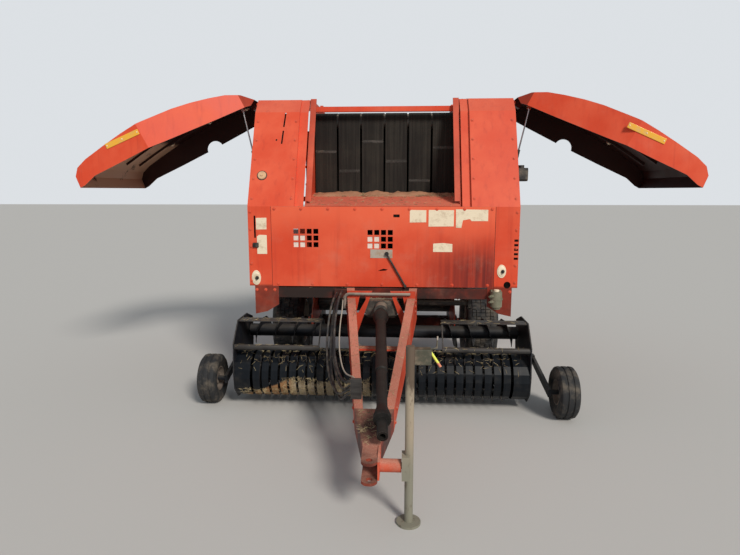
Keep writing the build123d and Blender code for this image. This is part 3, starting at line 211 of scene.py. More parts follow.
HOSE_COVER = sheath("hose_cover", (0.018, 0.018, 0.02), 0.5, 0.35)
CABLE_COVER = sheath("cable_cover", (0.4, 0.36, 0.3), 0.55, 0.6)
HOSE_DIAMETER = 0.016
CABLE_DIAMETER = 0.009
HOSE_A = [
    (-0.316, -0.236, 0.835), (-0.316, -0.33, 0.832), (-0.326, -0.42, 0.79), (-0.335, -0.5, 0.712),
    (-0.337, -0.59, 0.622), (-0.325, -0.69, 0.53), (-0.3, -0.8, 0.452), (-0.265, -0.92, 0.396),
    (-0.225, -1.04, 0.384), (-0.187, -1.145, 0.412), (-0.15, -1.235, 0.478), (-0.092, -1.31, 0.5)]
HOSE_B = [
    (-0.344, -0.236, 0.845), (-0.347, -0.335, 0.842), (-0.362, -0.415, 0.79), (-0.374, -0.48, 0.7),
    (-0.378, -0.55, 0.6), (-0.37, -0.64, 0.5), (-0.35, -0.75, 0.412), (-0.312, -0.87, 0.352),
    (-0.268, -0.99, 0.336), (-0.224, -1.1, 0.362), (-0.18, -1.2, 0.428), (-0.118, -1.31, 0.486)]
CABLE = [
    (-0.288, -0.236, 0.82), (-0.288, -0.3, 0.819), (-0.284, -0.37, 0.8), (-0.281, -0.44, 0.755),
    (-0.285, -0.51, 0.698), (-0.284, -0.59, 0.642), (-0.278, -0.68, 0.592), (-0.266, -0.775, 0.55),
    (-0.248, -0.87, 0.52), (-0.228, -0.965, 0.501), (-0.205, -1.055, 0.496), (-0.18, -1.14, 0.506),
    (-0.152, -1.215, 0.524), (-0.122, -1.27, 0.531), (-0.104, -1.31, 0.53)]
HOSE_C = [
    (-0.304, -0.236, 0.86), (-0.304, -0.328, 0.86), (-0.311, -0.415, 0.828), (-0.317, -0.5, 0.76),
    (-0.319, -0.59, 0.68), (-0.313, -0.69, 0.592), (-0.296, -0.8, 0.515), (-0.262, -0.92, 0.46),
    (-0.224, -1.04, 0.442), (-0.187, -1.145, 0.458), (-0.152, -1.235, 0.502), (-0.122, -1.31, 0.513)]
HOSE_D = [
    (-0.331, -0.236, 0.817), (-0.333, -0.322, 0.81), (-0.344, -0.402, 0.762), (-0.353, -0.475, 0.672),
    (-0.354, -0.553, 0.566), (-0.346, -0.642, 0.462), (-0.326, -0.745, 0.372), (-0.291, -0.86, 0.314),
    (-0.252, -0.975, 0.298), (-0.214, -1.085, 0.322), (-0.182, -1.195, 0.398), (-0.129, -1.31, 0.464)]
# name, CAD node, route, length, diameter, cover, slot
CORDS = [
    ("hydraulic_hose_" + letter, "hose_" + letter, route, length, HOSE_DIAMETER, HOSE_COVER, "hose_rubber")
    for letter, route, length in
    (("c", HOSE_C, 1.242), ("d", HOSE_D, 1.351), ("a", HOSE_A, 1.293), ("b", HOSE_B, 1.355))]
CORDS.append(("control_lead", "control_cable", CABLE, 1.185, CABLE_DIAMETER, CABLE_COVER, "cable_sheath"))
for name, node, route, length, diameter, cover, slot in CORDS:
    line = bpy.data.curves.new(name, "CURVE")
    line.dimensions = "3D"
    line.bevel_depth = diameter / 2
    line.bevel_resolution = 5
    line.resolution_u = 8
    spline = line.splines.new("NURBS")
    spline.points.add(len(route) - 1)
    for point, place in zip(spline.points, route):
        point.co = (*place, 1.0)
    spline.order_u = 3
    spline.use_endpoint_u = True
    line.materials.append(cover)
    hose = bpy.data.objects.new(name, line)
    scene.collection.objects.link(hose)
    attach(hose, "root")
    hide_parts(node)


# Frame, walls, panels and tongue are welded and folded steel in one red, sprayed on years ago. It has gone
# chalky in clouds and runs, rubbed bare along its edges, rusty low down, and it carries dust wherever it
# faces up.
def edge_wear(place, reach):
    """How far a surface is part of an edge, from 0 to 1, within so many metres of it."""
    rounded = place.node("Bevel", {"samples": 4}, {"Radius": reach})
    flat = place.node("NewGeometry", output="Normal")
    along = place.node("VectorMath", {"operation": "DOT_PRODUCT"}, {0: rounded, 1: flat}, output="Value")
    return (1 - along).rise(0.03, 0.25)


def facing(place, name):
    """How far the surface faces along an axis of its own object, from -1 to 1."""
    return place.node("TexCoord", output="Normal").axis(name)


RED = (0.68, 0.07, 0.028)
RED_FADED = (0.8, 0.13, 0.06)
RED_DEEP = (0.4, 0.034, 0.022)
RUST = (0.125, 0.045, 0.022)
BARE = (0.2, 0.18, 0.165)
UNDERSIDE_SHADE = (0.01, 0.008, 0.007)
DUST_PALE = (0.5, 0.43, 0.33)


def red_paint(name, dust, rust, grime_and_shade=0.0, under=0.0, painted_light_and_shadow=0.0, shade_below_hood=0.0):
    """Old red paint under dust, rust and grime that is partly painted shade, with painted shade under and
    inside, below the hood line and on the hood's lower left, and painted light at the hood's top.
    """
    made, shader, place = new_material(name)
    clouds = place.noise(1.7, 5.0).rise(0.4, 0.68)
    runs = place.stretched(26.0, 26.0, 1.1).noise(1.0, 4.0).rise(0.5, 0.78)
    speckle = place.noise(160.0, 3.0, 0.7)
    paint = (clouds * 0.75).tint(RED, RED_FADED)
    paint = (runs * 0.35).tint(paint, RED_DEEP)
    if painted_light_and_shadow:
        low_left = place.axis("X").rise(0.05, 0.75) * place.axis("Z").rise(1.36, 1.02)
        streaks = place.stretched(34.0, 34.0, 0.9).noise(1.0, 5.0).rise(0.3, 0.62)
        # Painted light: the hood turns lighter and more orange towards its top.
        paint = (place.axis("Z").rise(1.22, 1.49) * 0.7).tint(paint, (0.86, 0.15, 0.07))
        # Painted shadow: the hood's lower left is darkened nearly to black-red, broken by vertical streaks.
        paint = (low_left * (streaks * 0.4 + 0.6) * painted_light_and_shadow).tint(paint, (0.145, 0.02, 0.017))
    # Painted shade: below the hood's lower edge the red is mottled nearly black, for the shade under the
    # hood.
    if shade_below_hood:
        mottle = place.noise(12.0, 6.0, 0.7) * 0.5 + 0.6
        spread = (place.axis("Z").rise(0.91, 0.885) * shade_below_hood * mottle).least(0.92)
        paint = spread.tint(paint, (0.1, 0.02, 0.014))
    lower = place.axis("Z").rise(1.3, 0.35)
    scabs = place.noise(7.0, 8.0, 0.72).rise(0.63, 0.71)
    rubbed = edge_wear(place, 0.005) * speckle.rise(0.42, 0.6) * 0.8
    rusty = (scabs * (lower * 0.8 + 0.2) * rust).greatest(rubbed)
    worn = speckle.rise(0.45, 0.62).tint(RUST, BARE)
    skin = rusty.tint(paint, worn)
    settled = facing(place, "Z").rise(0.25, 0.85) * 0.9
    blown = place.noise(5.0, 7.0, 0.65).rise(0.48, 0.74) * (lower * 0.6 + 0.25)
    dusty = (settled.greatest(blown) * dust * (speckle * 0.5 + 0.7)).least(1.0)
    skin = dusty.tint(skin, speckle.rise(0.35, 0.65).tint(DUST, DUST_PALE))
    # Grime: dark patches. At the strong settings on the nose, main frame and hose block they are painted
    # shade.
    if grime_and_shade:
        skin = (place.noise(3.0, 6.0).rise(0.3, 0.62) * grime_and_shade).tint(skin, (0.022, 0.017, 0.015))
    # Painted shade: undersides, faces turned in towards the middle and forward faces behind the front are
    # painted near-black, for the shade under the raised doors.
    if under:
        inward = (place.axis("X") * facing(place, "X")).rise(-0.15, -0.5) * facing(place, "Z").rise(0.8, 0.6)
        inward = inward * facing(place, "Y").rise(-0.8, -0.6)
        ahead = place.axis("Y").rise(0.3, 0.36) * facing(place, "Y").rise(-0.3, -0.6)
        below = facing(place, "Z").rise(-0.2, -0.5).greatest(inward).greatest(ahead) * under
        # A painted pool of sunlight: a tan patch low on the right door's outer end, where sun falls in from
        # ahead.
        caked_and_sunlit = place.axis("X").rise(-1.95, -2.02) * facing(place, "Y").rise(-0.35, -0.1)
        caked_and_sunlit = caked_and_sunlit * place.noise(6.0, 6.0, 0.7).rise(0.3, 0.4) * 0.9
        skin = below.tint(skin, caked_and_sunlit.tint(UNDERSIDE_SHADE, (0.66, 0.42, 0.27)))
    dents = place.noise(3.4, 2.0) * 0.8 + place.noise(70.0, 3.0) * 0.05 + rusty * 0.03
    give(shader, Base_Color=skin, Roughness=(dusty * 0.35 + rusty * 0.3 + clouds * 0.12 + 0.42).least(0.95),
         Normal=bumped(dents, 0.008, 0.35), Specular_IOR_Level=0.22)
    return made


def clothe(finish, *names):
    """Gives CAD nodes one finish."""
    for name in names:
        mesh = nodes[name].data
        mesh.materials.clear()
        mesh.materials.append(finish)


BODY_RED = red_paint("body_red", 0.3, 0.3)
FRAME_RED = red_paint("frame_red", 0.55, 0.8, 0.3)
clothe(BODY_RED, "top_crossbar", "roof_left", "roof_right", "tailgate_frame")
# The front panels' skirts below the hood line carry painted shade.
clothe(red_paint("panel_red", 0.18, 0.3, shade_below_hood=0.95), "front_panel_left", "front_panel_right")
# The tongue's nose carries painted shade as heavy grime and as darkness below the hood line.
clothe(red_paint("nose_red", 0.5, 0.9, 0.9, shade_below_hood=0.55), "tongue_nose")
# The hood carries a painted shadow over its lower left and painted light towards its top.
clothe(red_paint("hood_red", 0.4, 0.35, painted_light_and_shadow=0.95), "hood_panel")
# The doors' undersides carry painted shade, and the right one a painted sunlit patch.
clothe(red_paint("door_red", 0.26, 0.2, under=0.97), "door_left", "door_right")
clothe(red_paint("ledge_red", 0.28, 0.3), "debris_deck")
clothe(FRAME_RED, "tongue_left_beam", "tongue_right_beam", "jack_bracket", "tongue_brace", "side_wall_left",
       "side_wall_right", "twine_box")
# The main frame and hose block are painted as lying in shade: near-black grime and darkness below the hood
# line.
clothe(red_paint("shaded_red", 0.3, 0.6, 0.95, shade_below_hood=1.1), "main_frame", "hose_block")


# The panels are held by hexagon bolts on washers, painted over with the panels or left zinc grey. Each sits
# on the panel it holds, in rows along the edges and rings round the bearings.
surfaces = {}


def seat(node, start, towards):
    """Where a line from a point first meets a CAD node, and the way the node faces there, or nothing."""
    if node not in surfaces:
        skin = bmesh.new()
        skin.from_mesh(nodes[node].data)
        surfaces[node] = BVHTree.FromBMesh(skin)
        skin.free()
    spot, outward, _, _ = surfaces[node].ray_cast(Vector(start), Vector(towards).normalized())
    return spot, outward


def turned_to(spot, outward):
    """The move that stands a shape made round Z on a spot, with its top facing outward."""
    return Matrix.Translation(spot) @ Vector(outward).to_track_quat("Z", "Y").to_matrix().to_4x4()


def finished(name, shape, body, finish, smooth=None):
    """A piece from a bmesh, on its body and with its finish; smooth is the sharpest angle shaded round."""
    bmesh.ops.recalc_face_normals(shape, faces=shape.faces)
    mesh = bpy.data.meshes.new(name)
    shape.to_mesh(mesh)
    shape.free()
    if smooth:
        mesh.shade_smooth()
        mesh.set_sharp_from_angle(angle=math.radians(smooth))
    mesh.materials.append(finish)
    piece = bpy.data.objects.new(name, mesh)
    scene.collection.objects.link(piece)
    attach(piece, body)
    return piece


def disc(shape, at, radius, low, high, sides=16, top=None):
    """A round or many-sided plug along Z of a place, from low to high, narrower at its top if wanted."""
    middle = at @ Matrix.Translation((0.0, 0.0, (low + high) / 2))
    bmesh.ops.create_cone(shape, cap_ends=True, segments=sides, radius1=radius, depth=high - low,
                          radius2=radius if top is None else top, matrix=middle)


# How far a fixing is let in, a washer's thickness, and parts of a head's width across its flats
SUNK = 0.001
WASHER_THICK = 0.0025
WASHER, CORNER, HEAD_SIDE, HEAD_TOP, HEAD_FLAT = 0.95, 0.577, 0.42, 0.52, 0.42


def bolt(shape, spot, outward, across):
    """A hexagon head with a chamfered top on a washer."""
    at = turned_to(spot, outward)
    disc(shape, at, across * WASHER, -SUNK, WASHER_THICK, 12)
    disc(shape, at, across * CORNER, WASHER_THICK, across * HEAD_SIDE, 6)
    disc(shape, at, across * CORNER, across * HEAD_SIDE, across * HEAD_TOP, 6, across * HEAD_FLAT)


def ring(centre, radius, count, off=0.0):
    """Places round a circle about an axle along X."""
    angles = [math.tau * (step + off) / count for step in range(count)]
    return [Vector(centre) + radius * Vector((0.0, math.cos(angle), math.sin(angle))) for angle in angles]


def row(first, last, count):
    """Evenly spaced places from the first to the last."""
    return [Vector(first).lerp(Vector(last), step / (count - 1)) for step in range(count)]


IN_X, BACK, FORWARD, UP, DOWN = (-1, 0, 0), (0, 1, 0), (0, -1, 0), (0, 0, 1), (0, 0, -1)
REACH = 0.6
SQUARE_ON = 0.6


def bolted(name, body, finish, across, rows):
    """Bolts on CAD nodes: each row is a node, the way to look for its surface, and places to look past."""
    shape = bmesh.new()
    for node, towards, places in rows:
        for place in places:
            spot, outward = seat(node, place - Vector(towards) * REACH, towards)
            if spot is not None and outward.dot(Vector(towards)) < -SQUARE_ON:
                bolt(shape, spot, outward, across)
    finished(name, shape, body, finish)


def mirrored_rows(rows):
    """Rows on the machine's left, with the same on its right."""
    both = []
    for node, towards, places in rows:
        both.append((node, towards, places))
        other = (-towards[0], towards[1], towards[2])
        both.append((node.replace("left", "right"), other, [Vector((-p.x, p.y, p.z)) for p in places]))
    return both


# (Y, Z) of the rollers' bearings on the walls and on the tailgate
WALL_BEARING_PLACES = [(0.4, 2.19), (0.83, 2.24), (0.48, 0.64)]
GATE_BEARING_PLACES = [(1.1, 2.23), (1.5, 2.15), (1.8, 1.45), (1.56, 0.7)]
bolted("panel_bolts", "root", BODY_RED, 0.013, mirrored_rows([
    ("front_panel_left", BACK, row((1.005, -0.2, 0.93), (1.005, -0.2, 1.46), 5)),
    ("front_panel_left", BACK, row((0.995, -0.15, 1.56), (0.995, 0.1, 2.16), 5)),
    ("front_panel_left", BACK, row((0.69, -0.15, 1.56), (0.69, 0.1, 2.16), 5)),
    ("front_panel_left", BACK, row((0.83, -0.2, 0.86), (0.97, -0.2, 0.86), 3)),
    ("roof_left", DOWN, row((0.63, 0.33, 2.3), (0.63, 0.86, 2.3), 6)),
    ("roof_left", DOWN, row((0.99, 0.33, 2.3), (0.99, 0.86, 2.3), 6))]) + [
    ("hood_panel", BACK, row((-0.82, -0.2, 1.482), (0.82, -0.2, 1.482), 9)),
    ("hood_panel", BACK, row((-0.8, -0.2, 0.908), (0.8, -0.2, 0.908), 7)),
    ("debris_deck", FORWARD, row((-0.55, -0.19, 1.54), (0.55, -0.19, 1.54), 6))])
bolted("wall_bolts", "root", FRAME_RED, 0.017, mirrored_rows([
    ("side_wall_left", IN_X, ring((0.7, y, z), 0.037, 4, 0.5)) for y, z in WALL_BEARING_PLACES] + [
    ("side_wall_left", IN_X, row((0.7, -0.125, 0.95), (0.7, -0.125, 1.45), 6)),
    ("side_wall_left", IN_X, row((0.7, 0.59, 0.95), (0.7, 0.59, 2.1), 9)),
    ("side_wall_left", IN_X, row((0.7, 0.282, 0.95), (0.7, 0.282, 2.1), 9)),
    ("tongue_left_beam", BACK, row((0.262, -0.4, 0.862), (0.262, -0.4, 0.715), 5)),
    ("tongue_left_beam", IN_X, row((0.3, -0.31, 0.84), (0.3, -0.31, 0.72), 4)),
    ("tongue_left_beam", IN_X, row((0.12, -1.36, 0.3), (0.12, -1.3, 0.36), 2))]))
bolted("tailgate_bolts", "tailgate", BODY_RED, 0.015, mirrored_rows([
    ("tailgate_frame", IN_X, ring((0.7, y, z), 0.037, 4, 0.5)) for y, z in GATE_BEARING_PLACES] + [
    ("tailgate_frame", IN_X, row((0.7, 1.225, 0.85), (0.7, 1.225, 2.05), 9)),
    ("tailgate_frame", IN_X, row((0.7, 1.585, 0.85), (0.7, 1.585, 2.05), 9))]) + [
    ("tailgate_frame", FORWARD, row((-0.55, 2.0, 1.105), (0.55, 2.0, 1.105), 8)),
    ("tailgate_frame", FORWARD, row((-0.55, 2.0, 1.305), (0.55, 2.0, 1.305), 8)),
    ("tailgate_frame", FORWARD, row((-0.57, 2.0, 1.6), (0.57, 2.0, 1.6), 2))])


# The hood's face carries what has been stuck and screwed on over the years: plain pale plates with their
# print long gone, two oval catches, a prop rod, screws, and slots and a hole punched through the steel.
def block(shape, low, high, soften=0.0):
    """A box between two corners, its edges rounded."""
    corners = bmesh.ops.create_cube(shape, size=1.0)["verts"]
    low, high = Vector(low), Vector(high)
    bmesh.ops.scale(shape, vec=high - low, verts=corners)
    bmesh.ops.translate(shape, vec=(low + high) / 2, verts=corners)
    if soften:
        edges = list({edge for corner in corners for edge in corner.link_edges})
        bmesh.ops.bevel(shape, geom=edges, offset=soften, affect="EDGES", segments=2, profile=0.5,
                        material=-1)


def rod(shape, start, end, radius, sides=12, top=None):
    """A round bar from one point to another."""
    start, end = Vector(start), Vector(end)
    disc(shape, turned_to(start, end - start), radius, 0.0, (end - start).length, sides, top)


def sheet_plate(shape, corners, y, thick):
    """A thin plate on a face that looks forward, from its (X, Z) corners."""
    flat = shape.faces.new([shape.verts.new((x, y, z)) for x, z in corners])
    grown = bmesh.ops.extrude_face_region(shape, geom=[flat])["geom"]
    moved = [part for part in grown if isinstance(part, bmesh.types.BMVert)]
    bmesh.ops.translate(shape, vec=(0.0, -thick, 0.0), verts=moved)


def label_finish(name, colour, dust):
    """A pale plate bleached blank, with patches of dirt and scuffs."""
    made, shader, place = new_material(name)
    dirt = place.noise(22.0, 6.0, 0.7).rise(0.45, 0.72) * dust
    scuff = place.stretched(1.0, 1.0, 3.0).noise(60.0, 4.0).rise(0.6, 0.72) * 0.5
    skin = scuff.tint(dirt.tint(colour, (0.36, 0.22, 0.12)), (0.5, 0.2, 0.12))
    give(shader, Base_Color=skin, Roughness=dirt * 0.3 + 0.5,
         Normal=bumped(place.noise(240.0, 3.0), 0.0005, 0.3))
    return made


CREAM = label_finish("cream_plate", (0.84, 0.72, 0.53), 0.5)
# Y of the hood's front face
FACE = -0.2
PLATE_THICK = 0.0015
# (X, Z) corners of each blank plate; one is torn to an L
BLANK_PLATES = [
    [(0.208, 1.382), (0.331, 1.384), (0.331, 1.474), (0.208, 1.476)],
    [(0.349, 1.352), (0.537, 1.354), (0.537, 1.475), (0.349, 1.476)],
    [(0.553, 1.345), (0.594, 1.343), (0.604, 1.4), (0.655, 1.409), (0.668, 1.394), (0.79, 1.394),
     (0.79, 1.478), (0.551, 1.481)],
    [(0.386, 1.161), (0.53, 1.161), (0.53, 1.221), (0.462, 1.229), (0.386, 1.224)],
    [(-0.962, 1.325), (-0.882, 1.327), (-0.88, 1.415), (-0.962, 1.413)],
    [(-0.958, 1.138), (-0.882, 1.138), (-0.882, 1.283), (-0.94, 1.285), (-0.958, 1.272)]]
plates = bmesh.new()
for corners in BLANK_PLATES:
    sheet_plate(plates, corners, FACE, PLATE_THICK)
finished("blank_plates", plates, "root", CREAM)
LOW_PLATE = [(-0.088, 1.112), (0.08, 1.112), (0.08, 1.176), (-0.088, 1.178)]
lower_plate = bmesh.new()
sheet_plate(lower_plate, LOW_PLATE, FACE, PLATE_THICK)
finished("blank_plate_low", lower_plate, "root",
         label_finish("grey_plate", (0.42, 0.37, 0.31), 0.8))


# Chaff and dust are packed pale behind the lower left holes of each grille, and are seen through them from
# ahead. Each pad is a block of felted chaff against the back of the sheet, as wide as two of the holes.
BEHIND_FACE = -0.1965
PAD_THICK = 0.012
# (X, Z) of each grille's middle
GRILLES = [(-0.58, 1.262), (-0.014, 1.255)]
packed = bmesh.new()
for x, z in GRILLES:
    block(packed, (x - 0.104, BEHIND_FACE, z - 0.078),
          (x - 0.001, BEHIND_FACE + PAD_THICK, z + 0.028), 0.004)
finished("packed_chaff", packed, "root",
         label_finish("packed_chaff", (0.8, 0.68, 0.6), 0.35))


# Slots, five notches, a hole and a tear are punched through the hood and its side strips. The shade behind
# them is painted as thin matt black shapes in the steel's face.
SHADE_BLACK = sheath("shade_black", (0.003, 0.002, 0.002), 0.8, 0.04)
SHADE_BLACK.node_tree.nodes["Principled BSDF"].inputs["Specular IOR Level"].default_value = 0.05
NOTCH_COUNT, NOTCH_PITCH, NOTCH_TOP = 5, 0.034, 1.25
# low X, high X, low Z and high Z of each slot and notch
SLOTS = [(0.085, 0.132, 1.421, 1.442), (-0.979, -0.966, 1.262, 1.43)] + [
    (0.99, 1.02, NOTCH_TOP - step * NOTCH_PITCH - 0.009, NOTCH_TOP - step * NOTCH_PITCH + 0.008)
    for step in range(NOTCH_COUNT)]
HOLE_PLACE, HOLE_RADIUS = (0.948, FACE, 0.912), 0.026
TEAR = [(-0.03, 1.012), (0.03, 1.016), (0.045, 1.024), (0.012, 1.03), (-0.012, 1.022)]
dark_marks = bmesh.new()
for low_x, high_x, low_z, high_z in SLOTS:
    block(dark_marks, (low_x, FACE - SUNK, low_z), (high_x, FACE + SUNK, high_z), 0.0006)
disc(dark_marks, turned_to(HOLE_PLACE, FORWARD), HOLE_RADIUS, -SUNK, 0.0012, 24)
sheet_plate(dark_marks, TEAR, FACE, 0.0008)
finished("punched_marks", dark_marks, "root", SHADE_BLACK)


# A black steel prop rod hangs on a pin under the middle grille and rests on a stud at the hood's lower
# edge. A small black rubber buffer is screwed to the right side strip.
BLACK_PAINT = sheath("black_paint", (0.012, 0.011, 0.011), 0.45, 0.25)
PROP_TOP, PROP_FOOT = (0.036, -0.212, 1.144), (0.178, -0.212, 0.898)
PROP_RADIUS = 0.007
prop = bmesh.new()
rod(prop, PROP_TOP, PROP_FOOT, PROP_RADIUS)
disc(prop, turned_to((PROP_TOP[0], FACE, PROP_TOP[2]), FORWARD), 0.017, -SUNK, 0.021, 20, 0.013)
disc(prop, turned_to((PROP_FOOT[0], FACE, PROP_FOOT[2]), FORWARD), 0.011, -SUNK, 0.019, 16)
block(prop, (-0.99, FACE - 0.014, 1.188), (-0.945, FACE + SUNK, 1.225), 0.004)
finished("prop_rod", prop, "root", BLACK_PAINT, 40)


# Each catch is an oval pressed escutcheon, painted cream, with a dark moulded turning knob in its middle.
# Two hold the hood's lower corners. Each has its X and Z, half its width and half its height here.
CATCHES = [(-0.972, 0.953, 0.037, 0.059), (0.903, 1.016, 0.035, 0.052)]
ovals, knobs = bmesh.new(), bmesh.new()
for x, z, half_wide, half_high in CATCHES:
    at = turned_to((x, FACE, z), FORWARD)
    shape_of = Matrix.Diagonal((half_wide, half_high, 1.0, 1.0))
    for radius, top, low, high in ((1.0, 0.93, -SUNK, 0.005), (0.8, 0.72, 0.005, 0.008)):
        disc(ovals, at @ shape_of, radius, low, high, 32, top)
    disc(knobs, at @ Matrix.Translation((0.008, 0.0, 0.0)), 0.015, 0.006, 0.018, 20, 0.012)
    block(knobs, (x + 0.003, FACE - 0.024, z - 0.014), (x + 0.013, FACE - 0.012, z + 0.014), 0.003)
finished("catch_plates", ovals, "root", CREAM, 40)
finished("catch_knobs", knobs, "root", BLACK_PAINT, 40)


# A round tan cap of moulded plastic closes an inspection hole in the right pillar. It is pushed into a dark
# rubber ring, and has a small round grip.
CAP_LOOK = (-0.931, -1.0, 1.734)
at = turned_to(*seat("front_panel_right", CAP_LOOK, BACK))
cap, cap_ring = bmesh.new(), bmesh.new()
disc(cap_ring, at, 0.041, -SUNK, 0.004, 32, 0.038)
disc(cap, at, 0.034, 0.004, 0.01, 32, 0.03)
disc(cap, at, 0.012, 0.01, 0.017, 20, 0.009)
finished("pillar_cap_ring", cap_ring, "root", BLACK_PAINT, 40)
finished("pillar_cap", cap, "root", label_finish("tan_cap", (0.66, 0.42, 0.24), 0.5), 40)


# A dark sheet of painted shade closes the pillars from behind, where their slots and the gap beside the
# inner posts would let light in. The strips lie along the pillars' slope, close behind their steel.
PILLAR_FOOT = Vector((0.0, FACE, 1.5))
PILLAR_RISE = Vector((0.0, 0.33, 0.735)).normalized()
PILLAR_BACK = Vector((0.0, PILLAR_RISE.z, -PILLAR_RISE.y))
PILLAR_FRAME = Matrix((Vector((1, 0, 0)), PILLAR_RISE, PILLAR_BACK)).transposed().to_4x4()
shade_sheet = bmesh.new()
block(shade_sheet, (-0.86, 0.45, 0.0042), (-0.73, 0.795, 0.007))
for sign in (-1, 1):
    ends = sorted((sign * 0.655, sign * 0.72))
    block(shade_sheet, (ends[0], 0.02, 0.0285), (ends[1], 0.79, 0.031))
bmesh.ops.transform(shade_sheet, matrix=Matrix.Translation(PILLAR_FOOT) @ PILLAR_FRAME, verts=shade_sheet.verts)
finished("pillar_shade_sheet", shade_sheet, "root", SHADE_BLACK)


# Amber reflectors are riveted to the front edge of each raised door, and a hook and big bolt heads to its
# underside. They are moulded plastic with a fine prismatic face, and cream painted steel.
def amber_plastic():
    made, shader, place = new_material("amber_plastic")
    prisms = place.node("TexVoronoi", None, {"Vector": place, "Scale": 220.0}, output="Distance")
    dirt = place.noise(16.0, 6.0, 0.7).rise(0.48, 0.72) * 0.6
    orange = dirt.tint((0.86, 0.44, 0.045), (0.55, 0.38, 0.18))
    give(shader, Base_Color=orange, Roughness=dirt * 0.4 + 0.25, Normal=bumped(prisms, 0.001, 0.5))
    return made


AMBER = amber_plastic()
SIDES = (("left", 1), ("right", -1))
# (X, Z) of each reflector's two ends on the door's front edge, as seen from ahead
REFLECTORS = {"left": ((1.76, 2.085), (2.03, 1.965)), "right": ((-2.095, 1.948), (-1.835, 2.058))}
REFLECTOR_HALF = 0.021
RIVET_IN = 0.012
# (X, Y) of the bolts under the left door
DOOR_BOLTS = [(1.25, -0.1), (1.25, 0.7), (1.62, -0.14), (1.62, 0.78), (1.98, -0.14), (1.98, 0.78)]
UNDER_DOORS = 1.7
HOOK_PLACE = (1.24, 0.16)
for side, ends in REFLECTORS.items():
    door = "door_" + side
    strip, rivets = bmesh.new(), bmesh.new()
    start, end = (Vector((x, 0.0, z)) for x, z in ends)
    middle, across, half = (start + end) / 2, (end - start).normalized(), (end - start).length / 2
    spot, _ = seat(door, (middle.x, -1.0, middle.z), BACK)
    ahead = Vector(FORWARD)
    at = Matrix.Translation(spot) @ Matrix((across, ahead.cross(across), ahead)).transposed().to_4x4()
    block(strip, (-half, -REFLECTOR_HALF, -0.002), (half, REFLECTOR_HALF, 0.006), 0.003)
    bmesh.ops.transform(strip, matrix=at, verts=strip.verts)
    for place in (RIVET_IN - half, 0.0, half - RIVET_IN):
        disc(rivets, at @ Matrix.Translation((place, 0.0, 0.0)), 0.006, 0.0055, 0.009, 12, 0.004)
    finished("reflector_" + side, strip, door, AMBER)
    finished("reflector_rivets_" + side, rivets, door, CREAM)
for side, sign in SIDES:
    door = "door_" + side
    hook = bmesh.new()
    spot, outward = seat(door, (sign * HOOK_PLACE[0], HOOK_PLACE[1], UNDER_DOORS), UP)
    drop = spot + Vector((sign * 0.012, 0.0, -0.06))
    rod(hook, spot + Vector((0.0, 0.0, 0.004)), drop, 0.011)
    rod(hook, drop, drop + Vector((-sign * 0.036, -0.004, -0.034)), 0.01)
    disc(hook, turned_to(spot, outward), 0.026, -SUNK, 0.004, 24, 0.022)
    finished("door_hook_" + side, hook, door, CREAM, 40)
    places = [Vector((sign * x, y, UNDER_DOORS)) for x, y in DOOR_BOLTS]
    bolted("door_bolts_" + side, door, CREAM, 0.024, [(door, UP, places)])


# Rollers, chains, gearbox, pickup and guards are steel that was painted dark or is polished by hay. In use
# it takes a skin of grease and chaff, with bright rubbed places on what the crop slides over.
def dark_steel(name, colour, rubbed, dust, rough=0.5, metal=0.4):
    """Dark working steel: its colour, how far it is rubbed bright, and how dusty it is."""
    made, shader, place = new_material(name)
    speckle = place.noise(140.0, 3.0, 0.7)
    grease = place.noise(6.0, 6.0).rise(0.42, 0.66)
    edges = edge_wear(place, 0.004) * 0.6 * speckle.rise(0.38, 0.6)
    bright = (place.stretched(1.0, 8.0, 8.0).noise(4.0, 5.0).rise(0.45, 0.72) * rubbed).greatest(edges)
    skin = bright.tint((grease * 0.6).tint(colour, (0.014, 0.012, 0.011)), BARE)
    blown = place.noise(9.0, 7.0, 0.7).rise(0.5, 0.72) * 0.7
    dusty = (facing(place, "Z").rise(0.2, 0.9) * 0.9).greatest(blown) * dust
    skin = dusty.tint(skin, speckle.rise(0.35, 0.65).tint(DUST, DUST_PALE))
    give(shader, Base_Color=skin, Roughness=(dusty * 0.4 + rough - bright * 0.15).least(0.95),
         Metallic=(bright * (1 - dusty)) * metal, Specular_IOR_Level=0.28,
         Normal=bumped(place.noise(60.0, 4.0) + place.noise(9.0, 3.0) * 0.8, 0.003, 0.3))
    return made


# The pickup's steel is near-black with a blue cast: partly its dark paint, partly painted shade under the
# hood.
SHAFT_STEEL = dark_steel("shaft_steel", (0.008, 0.01, 0.015), 0.08, 0.09, 0.5)
DRUM_STEEL = dark_steel("drum_steel", (0.04, 0.036, 0.032), 0.5, 0.4, 0.4, 0.8)
CAST_IRON = dark_steel("cast_iron", (0.05, 0.045, 0.04), 0.15, 0.5, 0.6)
clothe(SHAFT_STEEL, "pickup_frame", "pickup_reel", "centering_auger", "gauge_arms")
clothe(DRUM_STEEL, "front_rollers", "tailgate_rollers")
clothe(CAST_IRON, "gearbox", "chain_drive")
clothe(dark_steel("guard_pipe", (0.038, 0.036, 0.035), 0.22, 0.05), "auger_cage", "hose_clip")
clothe(dark_steel("cross_pipe_steel", (0.3, 0.24, 0.2), 0.2, 0.5), "cross_pipe")
clothe(dark_steel("guard_tube", (0.008, 0.007, 0.006), 0.03, 0.02, 0.62), "driveline")


